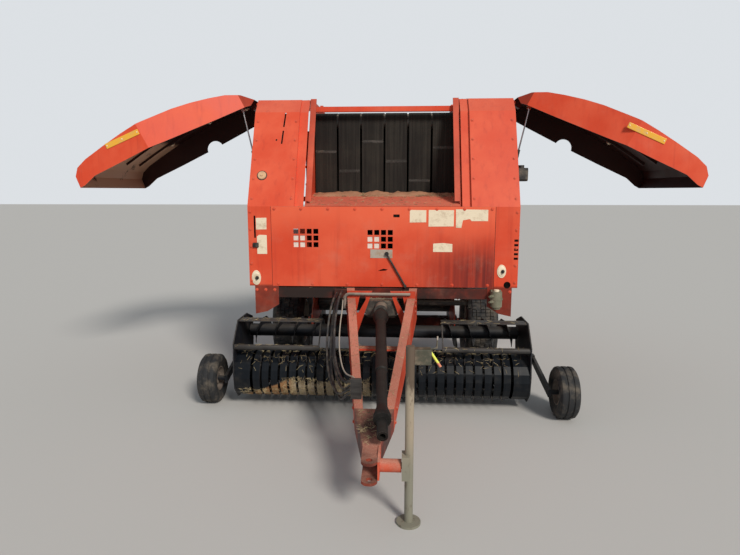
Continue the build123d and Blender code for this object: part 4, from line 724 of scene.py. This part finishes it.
# Twenty-eight sheet steel bands wrap the pickup reel, with the tines between them. They are blue-black,
# with long lighter streaks that are partly rubs by the crop and partly painted sheen, and dried mud and hay
# have crusted on the low front of those on the machine's right.
def band_steel():
    made, shader, place = new_material("band_steel")
    along = place.axis("X")
    height = place.axis("Z")
    speckle = place.noise(150.0, 3.0, 0.7)
    # Long lighter streaks round the bands: partly rubbed wear, partly painted sheen.
    rubs_and_sheen = place.stretched(60.0, 1.5, 1.5).noise(1.0, 4.0).rise(0.48, 0.74) * 0.4
    skin = rubs_and_sheen.tint((0.004, 0.006, 0.009), (0.018, 0.02, 0.024))
    skin = (place.noise(7.0, 6.0).rise(0.5, 0.72) * 0.05).tint(skin, DUST)
    edge = place.noise(9.0, 7.0, 0.7) * 0.16
    mud = (height + edge).rise(0.33, 0.29) * along.rise(-0.72, -0.66) * along.rise(-0.04, -0.12)
    wedge = (height + edge * 0.4 - (along + 0.97) * 0.42).rise(0.16, 0.14) * along.rise(-0.62, -0.68)
    caked_and_sunlit = speckle.rise(0.3, 0.7).tint((0.24, 0.19, 0.13), (0.42, 0.35, 0.25))
    front = facing(place, "Y").rise(-0.1, -0.4)
    skin = (mud * front * 0.9).tint(skin, caked_and_sunlit)
    skin = (wedge * front * 0.9).tint(skin, (0.3, 0.155, 0.07))
    cover = mud.greatest(wedge) * front
    give(shader, Specular_IOR_Level=0.2, Base_Color=skin, Roughness=cover * 0.4 + 0.42 - rubs_and_sheen * 0.1,
         Normal=bumped(cover * place.noise(40.0, 5.0) + place.noise(60.0, 3.0) * 0.1, 0.006, 0.5))
    return made


clothe(band_steel(), "pickup_bands")
bolted("pickup_bolts", "pickup", SHAFT_STEEL, 0.015, mirrored_rows([
    ("pickup_frame", IN_X, ring((1.3, -0.345, 0.245), 0.13, 8)),
    ("pickup_frame", IN_X, row((1.3, -0.2, 0.5), (1.3, -0.2, 0.36), 3))]))


# Six flat belts run side by side over the rollers, in front and in the tailgate. They are fabric and black
# rubber, rough on the outside, grey with dust, and joined by a row of steel lacing hooks on a pin.
def belting():
    made, shader, place = new_material("belting")
    weave = place.node("TexVoronoi", None, {"Vector": place, "Scale": 160.0}, output="Distance")
    streaks = place.stretched(70.0, 1.5, 1.5).noise(1.0, 5.0).rise(0.4, 0.72)
    dirt = place.noise(3.5, 6.0).rise(0.38, 0.7)
    # The belts' near-black is partly their black rubber and partly painted shade inside the chamber's front.
    skin = (weave.rise(0.2, 0.7) * 0.35).tint((0.009, 0.007, 0.006), (0.02, 0.016, 0.013))
    skin = (streaks * 0.2 + dirt * 0.15).tint(skin, (0.07, 0.058, 0.04))
    give(shader, Specular_IOR_Level=0.25, Base_Color=skin, Roughness=0.8 - streaks * 0.2,
         Normal=bumped(weave, 0.0015, 0.5))
    return made


clothe(belting(), "front_belts", "tailgate_belts")
BELT_PITCH = 0.195
BELT_WIDE = 0.178
LACE_HEIGHTS = [1.94, 1.78, 2.02, 1.86, 1.7, 1.97]
LACE_PITCH = 0.0094
LACE_COUNT = int(BELT_WIDE / LACE_PITCH)
LACE_HALF_WIDE, LACE_NEAR, LACE_FAR = 0.0032, 0.001, 0.012
LACE_PROUD = 0.0022
AHEAD_OF_BELTS = -1.0
lacing = bmesh.new()
for number, height in enumerate(LACE_HEIGHTS):
    middle = (number - (len(LACE_HEIGHTS) - 1) / 2) * BELT_PITCH
    for hook in range(LACE_COUNT):
        x = middle + (hook - (LACE_COUNT - 1) / 2) * LACE_PITCH
        spot, _ = seat("front_belts", (x, AHEAD_OF_BELTS, height), BACK)
        for low, high in ((-LACE_FAR, -LACE_NEAR), (LACE_NEAR, LACE_FAR)):
            block(lacing, (x - LACE_HALF_WIDE, spot.y - LACE_PROUD, height + low),
                  (x + LACE_HALF_WIDE, spot.y + SUNK, height + high), 0.0008)
    spot, _ = seat("front_belts", (middle, AHEAD_OF_BELTS, height), BACK)
    ends = [Vector((middle + sign * BELT_WIDE / 2, spot.y - 0.001, height)) for sign in (-1, 1)]
    rod(lacing, *ends, 0.0018, 8)
finished("belt_lacing", lacing, "root", DRUM_STEEL)


# Two roller chains on the machine's left drive the chamber rollers from the gearbox. Oval side plates and
# riveted pins of dark oiled steel stand on both faces of each chain. Each chain has its two sprockets here,
# as Y, Z and radius, and the X of its nearer plates.
CHAINS = [((-0.07, 0.745, 0.045), (0.39, 0.96, 0.09), 0.672),
          ((0.39, 0.96, 0.06), (0.4, 2.19, 0.07), 0.698)]
CHAIN_WIDE = 0.018
LINK_PITCH = 0.0254
PLATE_OVAL = (0.0085, 0.0195)
PLATE_HALF = 0.0009
INNER_OFF, OUTER_OFF = 0.0004, 0.0022
PIN_RADIUS, PIN_PROUD = 0.0036, 0.0045


def chain_line(first, second):
    """Pin places (Y, Z) a link apart round two sprockets."""
    start, end = Vector(first[:2]), Vector(second[:2])
    gap = end - start
    lean = math.atan2(gap.y, gap.x)
    touch = math.acos((first[2] - second[2]) / gap.length)
    run = math.sqrt(gap.length ** 2 - (first[2] - second[2]) ** 2)
    far, near = 2 * touch * second[2], (math.tau - 2 * touch) * first[2]
    whole = 2 * run + far + near
    count = 2 * round(whole / LINK_PITCH / 2)
    pins = []

    def on(centre, radius, angle):
        return centre + radius * Vector((math.cos(angle), math.sin(angle)))

    for number in range(count):
        along = whole * number / count
        if along < run:
            share = along / run
            pins.append(on(start, first[2], lean + touch).lerp(on(end, second[2], lean + touch), share))
        elif along < run + far:
            pins.append(on(end, second[2], lean + touch - (along - run) / second[2]))
        elif along < 2 * run + far:
            share = (along - run - far) / run
            pins.append(on(end, second[2], lean - touch).lerp(on(start, first[2], lean - touch), share))
        else:
            pins.append(on(start, first[2], lean - touch - (along - 2 * run - far) / first[2]))
    return pins


links = bmesh.new()
for first, second, near_x in CHAINS:
    pins = chain_line(first, second)
    for number, pin in enumerate(pins):
        after = pins[(number + 1) % len(pins)]
        middle = (pin + after) / 2
        angle = math.atan2(after.y - pin.y, after.x - pin.x)
        off = INNER_OFF if number % 2 else OUTER_OFF
        for x, sign in ((near_x, -1), (near_x + CHAIN_WIDE, 1)):
            at = Matrix.Translation((x + sign * off, middle.x, middle.y)) @ Matrix.Rotation(angle, 4, "X")
            oval = at @ Matrix.Rotation(math.pi / 2, 4, "Y") @ Matrix.Diagonal((*PLATE_OVAL, 1.0, 1.0))
            disc(links, oval, 1.0, -PLATE_HALF, PLATE_HALF, 10)
        ends = [(x, pin.x, pin.y) for x in (near_x - PIN_PROUD, near_x + CHAIN_WIDE + PIN_PROUD)]
        rod(links, *ends, PIN_RADIUS, 8)
finished("chain_links", links, "root", CAST_IRON)


# Tyres are black rubber gone grey with dust: road tyres with a block tread, and ribbed ones on the gauge
# wheels. The tyre's section is turned round its axle, and the tread's blocks are raised from it.
def rubber():
    made, shader, place = new_material("tyre")
    dirt = place.noise(11.0, 7.0, 0.7).rise(0.42, 0.7)
    skin = (dirt * 0.32).tint((0.014, 0.015, 0.017), DUST)
    give(shader, Base_Color=skin, Roughness=dirt * 0.1 + 0.78,
         Normal=bumped(place.noise(120.0, 4.0), 0.001, 0.4))
    return made


def turned(shape, profile, centre, steps):
    """A closed section of (X, radius) turned round an axle along X at a centre."""
    fresh = bmesh.new()
    points = [fresh.verts.new((x, 0.0, radius)) for x, radius in profile]
    edges = [fresh.edges.new(pair) for pair in zip(points, points[1:] + points[:1])]
    bmesh.ops.spin(fresh, geom=points + edges, cent=(0, 0, 0), axis=(1, 0, 0), dvec=(0, 0, 0),
                   angle=math.tau, steps=steps, use_merge=True, use_duplicate=False)
    bmesh.ops.remove_doubles(fresh, verts=fresh.verts, dist=0.00002)
    bmesh.ops.recalc_face_normals(fresh, faces=fresh.faces)
    bmesh.ops.translate(fresh, vec=centre, verts=fresh.verts)
    part = bpy.data.meshes.new("turned")
    fresh.to_mesh(part)
    fresh.free()
    shape.from_mesh(part)
    bpy.data.meshes.remove(part)


TYRE = rubber()
# (Y, Z) of the road wheels' axle, and X of the left one's middle
AXLE = (0.78, 0.39)
WHEEL_X = 0.872
TYRE_SECTION = [
    (-0.096, 0.379), (-0.06, 0.38), (-0.02, 0.381), (0.02, 0.381), (0.06, 0.38), (0.096, 0.379),
    (0.112, 0.373), (0.13, 0.354), (0.138, 0.335), (0.1395, 0.318), (0.137, 0.3), (0.1385, 0.296),
    (0.134, 0.262), (0.126, 0.238), (0.122, 0.235), (0.114, 0.214), (0.104, 0.206)]
TYRE_SECTION = TYRE_SECTION + [(-x, radius) for x, radius in reversed(TYRE_SECTION[6:])]
TREAD_STEPS = 78
TREAD_FROM = 0.377
LANE_WIDE = 0.04
GROOVE_HALF, TREAD_DEEP = 0.0035, 0.0085
for side, sign in SIDES:
    tyre = bmesh.new()
    centre = Vector((sign * WHEEL_X, *AXLE))
    turned(tyre, TYRE_SECTION, centre, TREAD_STEPS)
    tread = []
    for face in tyre.faces:
        middle = face.calc_center_median() - centre
        turn = int((math.atan2(middle.z, middle.y) + math.pi) / math.tau * TREAD_STEPS)
        lane = round(middle.x / LANE_WIDE)
        if math.hypot(middle.y, middle.z) > TREAD_FROM and (turn + lane * (1 if lane % 2 else 2)) % 3:
            tread.append(face)
    bmesh.ops.inset_individual(tyre, faces=tread, thickness=GROOVE_HALF, depth=TREAD_DEEP,
                               use_even_offset=True)
    road_tyre = finished("road_tyre_" + side, tyre, "wheel_" + side, TYRE, 35)
    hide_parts("main_tyre_" + side)


# Small fittings with finishes of their own: rims, struts, cylinders, lamps, the control box, the oil tank
# and the jack, whose leg is an old pale painted pipe, dark brown at its top and darker towards the bottom.
def plain_finish(name, colour, rough, metal, dust, worn_to=BARE):
    """A fitting's own colour and gloss under scattered dust, with its edges rubbed."""
    made, shader, place = new_material(name)
    dirt = place.noise(8.0, 7.0, 0.68).rise(0.45, 0.7) * dust
    worn = edge_wear(place, 0.003) * place.noise(200.0, 2.0).rise(0.4, 0.6) * 0.5
    skin = worn.tint(dirt.tint(colour, DUST), worn_to)
    give(shader, Base_Color=skin, Roughness=dirt * 0.4 + rough, Metallic=(1 - dirt) * metal,
         Normal=bumped(place.noise(90.0, 3.0), 0.001, 0.3))
    return made


def lever_box():
    """Green-grey paint, a bright yellow-green lever with a worn red end, and a pale head on the rod."""
    made, shader, place = new_material("lever_box")
    dirt = place.noise(10.0, 7.0, 0.68).rise(0.42, 0.7) * 0.6
    skin = dirt.tint((0.07, 0.075, 0.052), DUST)
    lever = place.axis("X").rise(0.357, 0.361) * place.axis("Z").rise(0.565, 0.555)
    lever = lever * place.axis("Y").rise(-0.735, -0.745)
    end = place.axis("Z").rise(0.478, 0.468)
    skin = lever.tint(skin, end.tint((0.8, 0.86, 0.13), (0.72, 0.26, 0.15)))
    skin = place.axis("Z").rise(0.612, 0.622).tint(skin, (0.52, 0.47, 0.4))
    give(shader, Base_Color=skin, Roughness=dirt * 0.3 + 0.5,
         Normal=bumped(place.noise(90.0, 3.0), 0.001, 0.3))
    return made


def pole_paint():
    """Cream paint worn through to rust in patches: dark brown at the top, pale and streaked below, and
    darker and greyer towards the bottom.
    """
    made, shader, place = new_material("pole_paint")
    height = place.axis("Z")
    patch = place.stretched(1.0, 1.0, 0.35).noise(26.0, 6.0, 0.7)
    brown = (height + patch * 0.25).rise(0.78, 0.86) * 0.85
    worn = patch.rise(0.54, 0.66) * 0.6
    # Darker and greyer towards the bottom of the leg.
    cream = height.rise(0.5, 0.25).tint((0.36, 0.295, 0.215), (0.225, 0.215, 0.165))
    skin = worn.tint(cream, (0.1, 0.065, 0.04))
    skin = brown.tint(skin, (0.075, 0.045, 0.028))
    give(shader, Base_Color=skin, Roughness=worn * 0.2 + 0.6, Normal=bumped(patch, 0.002, 0.5))
    return made


BLACK_PLASTIC = plain_finish("black_plastic", (0.02, 0.02, 0.02), 0.55, 0.0, 0.5)
clothe(plain_finish("rim", (0.52, 0.49, 0.43), 0.5, 0.0, 0.8), "main_rim_left", "main_rim_right")
clothe(plain_finish("black_tube", (0.02, 0.02, 0.021), 0.35, 0.0, 0.4), "strut_barrel_left",
       "strut_barrel_right", "cylinder_barrel_left", "cylinder_barrel_right")
clothe(plain_finish("chrome", (0.62, 0.62, 0.63), 0.18, 1.0, 0.3), "strut_rod_left", "strut_rod_right",
       "cylinder_rod_left", "cylinder_rod_right")
clothe(plain_finish("lamp", (0.35, 0.018, 0.012), 0.2, 0.0, 0.3), "tail_lamps")
clothe(BLACK_PLASTIC, "oiler_tank")
clothe(lever_box(), "control_box")
clothe(pole_paint(), "jack_leg")


# Each gauge wheel is a small ribbed rubber tyre on a pressed steel disc, brown with rust. The disc is
# bolted to its hub by a ring of five. Both are turned from their sections.
GAUGE_SECTION = [
    (-0.056, 0.181), (-0.044, 0.1845), (-0.03, 0.1845), (-0.026, 0.178), (-0.018, 0.178), (-0.014, 0.1848),
    (0.014, 0.1848), (0.018, 0.178), (0.026, 0.178), (0.03, 0.1845), (0.044, 0.1845), (0.056, 0.181),
    (0.07, 0.163), (0.0745, 0.148), (0.072, 0.13), (0.066, 0.112), (0.058, 0.0925), (-0.058, 0.0925),
    (-0.066, 0.112), (-0.072, 0.13), (-0.0745, 0.148), (-0.07, 0.163)]
WHEEL_DISC = [
    (-0.058, 0.092), (-0.058, 0.084), (-0.012, 0.076), (-0.012, 0.052), (-0.02, 0.044), (-0.04, 0.04),
    (-0.04, 0.0185), (0.04, 0.0185), (0.04, 0.036), (0.034, 0.041), (0.004, 0.044), (-0.004, 0.052),
    (-0.004, 0.077), (0.05, 0.084), (0.058, 0.088), (0.058, 0.092)]
GAUGE_RIM = plain_finish("gauge_rim", (0.16, 0.13, 0.11), 0.6, 0.0, 0.6, worn_to=RUST)
GAUGE_HEIGHT = 0.185
# X and Y of each wheel, and the way that it looks
GAUGE_PLACES = {"left": (1.325, -0.5, 1), "right": (-1.302, -0.33, -1)}
for side, (x, y, sign) in GAUGE_PLACES.items():
    ribbed, dish = bmesh.new(), bmesh.new()
    turned(ribbed, GAUGE_SECTION, (x, y, GAUGE_HEIGHT), 56)
    turned(dish, [(sign * along, radius) for along, radius in WHEEL_DISC], (x, y, GAUGE_HEIGHT), 40)
    for place in ring((x - sign * 0.004, y, GAUGE_HEIGHT), 0.064, 5):
        bolt(dish, place, (sign, 0, 0), 0.013)
    tyre_piece = finished("gauge_tyre_" + side, ribbed, "gauge_" + side, TYRE, 35)
    disc_piece = finished("gauge_disc_" + side, dish, "gauge_" + side, GAUGE_RIM, 35)
    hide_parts("gauge_wheel_" + side)
    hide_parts("gauge_wheel_" + side)


# Six steel nuts hold each road wheel to its hub. A black rubber tyre valve with a plastic cap stands out of
# the rim beside them.
NUT_RING = 0.095
VALVE_OFF = (0.16, 0.06)
OUTSIDE_WHEEL = 1.1
for side, sign in SIDES:
    rim, inward = "main_rim_" + side, (-sign, 0, 0)
    bolted("wheel_nuts_" + side, "wheel_" + side, GAUGE_RIM, 0.021,
           [(rim, inward, ring((sign * OUTSIDE_WHEEL, *AXLE), NUT_RING, 6))])
    valve = bmesh.new()
    spot, _ = seat(rim, (sign * OUTSIDE_WHEEL, AXLE[0] + VALVE_OFF[0], AXLE[1] + VALVE_OFF[1]), inward)
    foot, neck, tip = (spot + Vector((sign * off, 0, 0)) for off in (-0.002, 0.03, 0.04))
    rod(valve, foot, neck, 0.0045, 10)
    rod(valve, neck, tip, 0.006, 10, 0.005)
    finished("tyre_valve_" + side, valve, "wheel_" + side, BLACK_PLASTIC, 40)


# A hydraulic motor hangs in front of the left skirt: green-grey painted iron, with a flange, two hose
# unions and a pale bleached cap.
MOTOR_X, MOTOR_Y, MOTOR_LOW, MOTOR_TALL = 0.862, -0.252, 0.738, 0.134
# lower radius, bottom, top and upper radius of each step of the housing
MOTOR_STEPS = [(0.03, 0.0, 0.018, 0.034), (0.043, 0.018, 0.072, 0.043), (0.048, 0.072, 0.084, 0.048),
               (0.043, 0.084, MOTOR_TALL, 0.041)]
motor, motor_cap = bmesh.new(), bmesh.new()
at = Matrix.Translation((MOTOR_X, MOTOR_Y, MOTOR_LOW))
for radius, low, high, top in MOTOR_STEPS:
    disc(motor, at, radius, low, high, 28, top)
block(motor, (MOTOR_X - 0.04, -0.235, 0.8), (MOTOR_X + 0.04, -0.199, 0.878), 0.005)
for height in (0.842, 0.8):
    elbow = Vector((MOTOR_X - 0.052, MOTOR_Y - 0.052, height))
    rod(motor, elbow + Vector((0.022, 0.022, 0.0)), elbow, 0.011, 6)
    rod(motor, elbow, elbow - Vector((0.01, 0.01, 0.0)), 0.008, 12)
for place in ring((0.0, 0.0, 0.0), 0.032, 4, 0.5):
    bolt(motor, (MOTOR_X + place.y, MOTOR_Y + place.z, MOTOR_LOW + MOTOR_TALL), (0, 0, 1), 0.01)
disc(motor_cap, at, 0.022, MOTOR_TALL, MOTOR_TALL + 0.014, 24, 0.019)
GREEN_GREY = plain_finish("green_grey", (0.155, 0.16, 0.105), 0.55, 0.1, 0.5)
finished("drive_motor", motor, "root", GREEN_GREY, 35)
finished("drive_motor_cap", motor_cap, "root", CREAM, 35)


# Lamps have ribbed lenses in black housings, red reflectors stand low on the tailgate, and a plain sheet
# plate with no number is bolted between the rear channels. They are moulded plastic and thin aluminium.
LENS = plain_finish("lens", (0.42, 0.012, 0.01), 0.18, 0.0, 0.35)
RIB_COUNT, RIB_FIRST, RIB_PITCH = 9, 0.655, 0.015
BEHIND = 3.0
ribs, reflectors = bmesh.new(), bmesh.new()
for sign in (-1, 1):
    for step in range(RIB_COUNT):
        x = sign * (RIB_FIRST + step * RIB_PITCH)
        block(ribs, (x - 0.003, 1.6595, 1.158), (x + 0.003, 1.6625, 1.232), 0.001)
    block(ribs, (sign * 0.715 - 0.079, 1.606, 1.146), (sign * 0.715 + 0.079, 1.63, 1.244), 0.003)
    at = turned_to(*seat("tailgate_frame", (sign * 0.5, BEHIND, 0.93), FORWARD))
    disc(reflectors, at, 0.04, -SUNK, 0.005, 36, 0.038)
    disc(reflectors, at, 0.034, 0.005, 0.008, 36, 0.031)
finished("lamp_ribs", ribs, "tailgate", LENS)
finished("rear_reflectors", reflectors, "tailgate", LENS, 40)
PLATE_HALF_WIDE, PLATE_LOW, PLATE_HIGH = 0.26, 1.145, 1.275
plate = bmesh.new()
spot, _ = seat("tailgate_frame", (0.0, BEHIND, 1.21), FORWARD)
block(plate, (-PLATE_HALF_WIDE, spot.y - SUNK, PLATE_LOW),
      (PLATE_HALF_WIDE, spot.y + 0.003, PLATE_HIGH), 0.0012)
finished("plain_rear_plate", plate, "tailgate",
         label_finish("rear_plate", (0.66, 0.62, 0.54), 0.6))


# Hay is left wherever it can lie or hang: on the ledge below the belts, the bands, the guards, the tongue
# and the roof. It is dry straw, in single stalks a few centimetres long.
def straw_finish():
    made, shader, place = new_material("straw")
    shade = place.noise(18.0, 2.0)
    skin = shade.rise(0.35, 0.65).tint((0.2, 0.145, 0.075), (0.55, 0.44, 0.25))
    give(shader, Base_Color=skin, Roughness=0.75, Normal=bumped(place.noise(500.0, 2.0), 0.0003, 0.3))
    return made


STRAW = straw_finish()
STRAW_SLIM = 0.0011
STRAW_LIFT = 0.0015
STRAW_STEEP = 0.25


def strewn(name, body, seed, drops):
    """Straw on CAD nodes: each drop is a node, two corners that stalks start between, the way they fall, how
    many, and the longest."""
    draw = random.Random(seed)
    shape = bmesh.new()
    for node, low, high, towards, count, longest in drops:
        for _ in range(count):
            start = [draw.uniform(a, b) for a, b in zip(low, high)]
            length = draw.uniform(0.35, 1.0) * longest
            spin, tip = draw.uniform(0.0, math.tau), draw.uniform(-0.22, 0.22)
            spot, outward = seat(node, start, towards)
            if spot is None or outward.dot(Vector(towards)) > -STRAW_STEEP:
                continue
            lay = turned_to(spot + outward * STRAW_LIFT, outward) @ Matrix.Rotation(spin, 4, "Z")
            lay = lay @ Matrix.Rotation(math.pi / 2 + tip, 4, "Y")
            bmesh.ops.create_cone(shape, cap_ends=True, segments=3, radius1=STRAW_SLIM,
                                  radius2=STRAW_SLIM * 0.7, depth=length, matrix=lay)
    finished(name, shape, body, STRAW)


strewn("straw_on_body", "root", 11, [
    ("debris_deck", (-0.57, -0.19, 1.9), (0.57, 0.27, 1.9), DOWN, 260, 0.045),
    ("debris_deck", (-0.57, 0.14, 1.9), (0.57, 0.27, 1.9), DOWN, 900, 0.055),
    ("hood_panel", (-0.84, -0.197, 1.7), (0.84, -0.16, 1.7), DOWN, 60, 0.04),
    ("roof_left", (0.6, 0.3, 2.6), (1.01, 0.89, 2.6), DOWN, 60, 0.045),
    ("roof_right", (-1.01, 0.3, 2.6), (-0.6, 0.89, 2.6), DOWN, 60, 0.045),
    ("tongue_left_beam", (0.06, -1.38, 1.2), (0.27, -0.2, 1.2), DOWN, 160, 0.05),
    ("tongue_right_beam", (-0.27, -1.38, 1.2), (-0.06, -0.2, 1.2), DOWN, 220, 0.05),
    ("tongue_nose", (-0.11, -1.74, 0.8), (0.11, -1.4, 0.8), DOWN, 160, 0.05),
    ("tongue_brace", (-0.15, -0.74, 0.9), (0.15, -0.66, 0.9), DOWN, 60, 0.05),
    ("gearbox", (-0.12, -0.3, 1.0), (0.12, -0.01, 1.0), DOWN, 120, 0.05),
    ("main_frame", (-0.98, -0.19, 1.2), (0.98, 1.0, 1.2), DOWN, 400, 0.06)])
strewn("straw_on_pickup", "pickup", 12, [
    ("pickup_bands", (-0.72, -0.9, 0.1), (-0.08, -0.9, 0.26), BACK, 700, 0.05),
    ("pickup_bands", (-1.05, -0.9, 0.09), (-0.66, -0.9, 0.17), BACK, 160, 0.045),
    ("pickup_bands", (-1.05, -0.5, 0.9), (1.05, -0.07, 0.9), DOWN, 700, 0.055),
    ("pickup_frame", (-1.05, -0.4, 0.9), (1.05, 0.1, 0.9), DOWN, 260, 0.055)])
strewn("straw_on_guard", "pickup", 13, [
    ("auger_cage", (-1.08, -0.49, 0.9), (1.08, -0.24, 0.9), DOWN, 500, 0.05)])
strewn("straw_on_tailgate", "tailgate", 14, [
    ("tailgate_frame", (-0.65, 1.0, 2.8), (0.65, 1.88, 2.8), DOWN, 240, 0.05)])


# Wet chaff has built up in a low drift along the back of the ledge, in front of the belts. It is a felt of
# short stalks and leaf dust, lumpy on top and thin at its rim.
DRIFT_LONG, DRIFT_DEEP, DRIFT_Y = 1.15, 0.14, 0.205
DRIFT_FRONT, DRIFT_BACK = 0.135, 0.275
DRIFT_SLOPE, DRIFT_STEEP = 0.05, 0.02
DRIFT_SKIN = 0.003
LEDGE_HEIGHT = 1.52
LUMP_SHIFT = Vector((4.0, 2.0, 7.0))
drift = bmesh.new()
bmesh.ops.create_grid(drift, x_segments=80, y_segments=12, size=0.5)
bmesh.ops.scale(drift, vec=(DRIFT_LONG, DRIFT_DEEP, 1.0), verts=drift.verts)
bmesh.ops.translate(drift, vec=(0.0, DRIFT_Y, 0.0), verts=drift.verts)
for vert in drift.verts:
    x, y = vert.co.x, vert.co.y
    spot, _ = seat("debris_deck", (x, y, 2.0), DOWN)
    ground = spot.z if spot is not None else LEDGE_HEIGHT
    rim = min(1.0, (DRIFT_LONG / 2 - abs(x)) / DRIFT_SLOPE, (y - DRIFT_FRONT) / DRIFT_SLOPE,
              (DRIFT_BACK - y) / DRIFT_STEEP)
    lump = noise.fractal(vert.co * 9.0 + LUMP_SHIFT, 0.9, 2.1, 5)
    heap = 0.014 + 0.02 * lump + 0.02 * noise.noise(vert.co * 3.1)
    vert.co.z = ground + max(-0.004, heap) * max(rim, 0.0) - (0.006 if rim < 0.15 else 0.0)
bmesh.ops.recalc_face_normals(drift, faces=drift.faces)
bmesh.ops.solidify(drift, geom=list(drift.faces), thickness=DRIFT_SKIN)
CHAFF = label_finish("chaff", (0.4, 0.19, 0.11), 0.7)
finished("chaff_drift", drift, "root", CHAFF, 60)


bpy.context.view_layer.update()
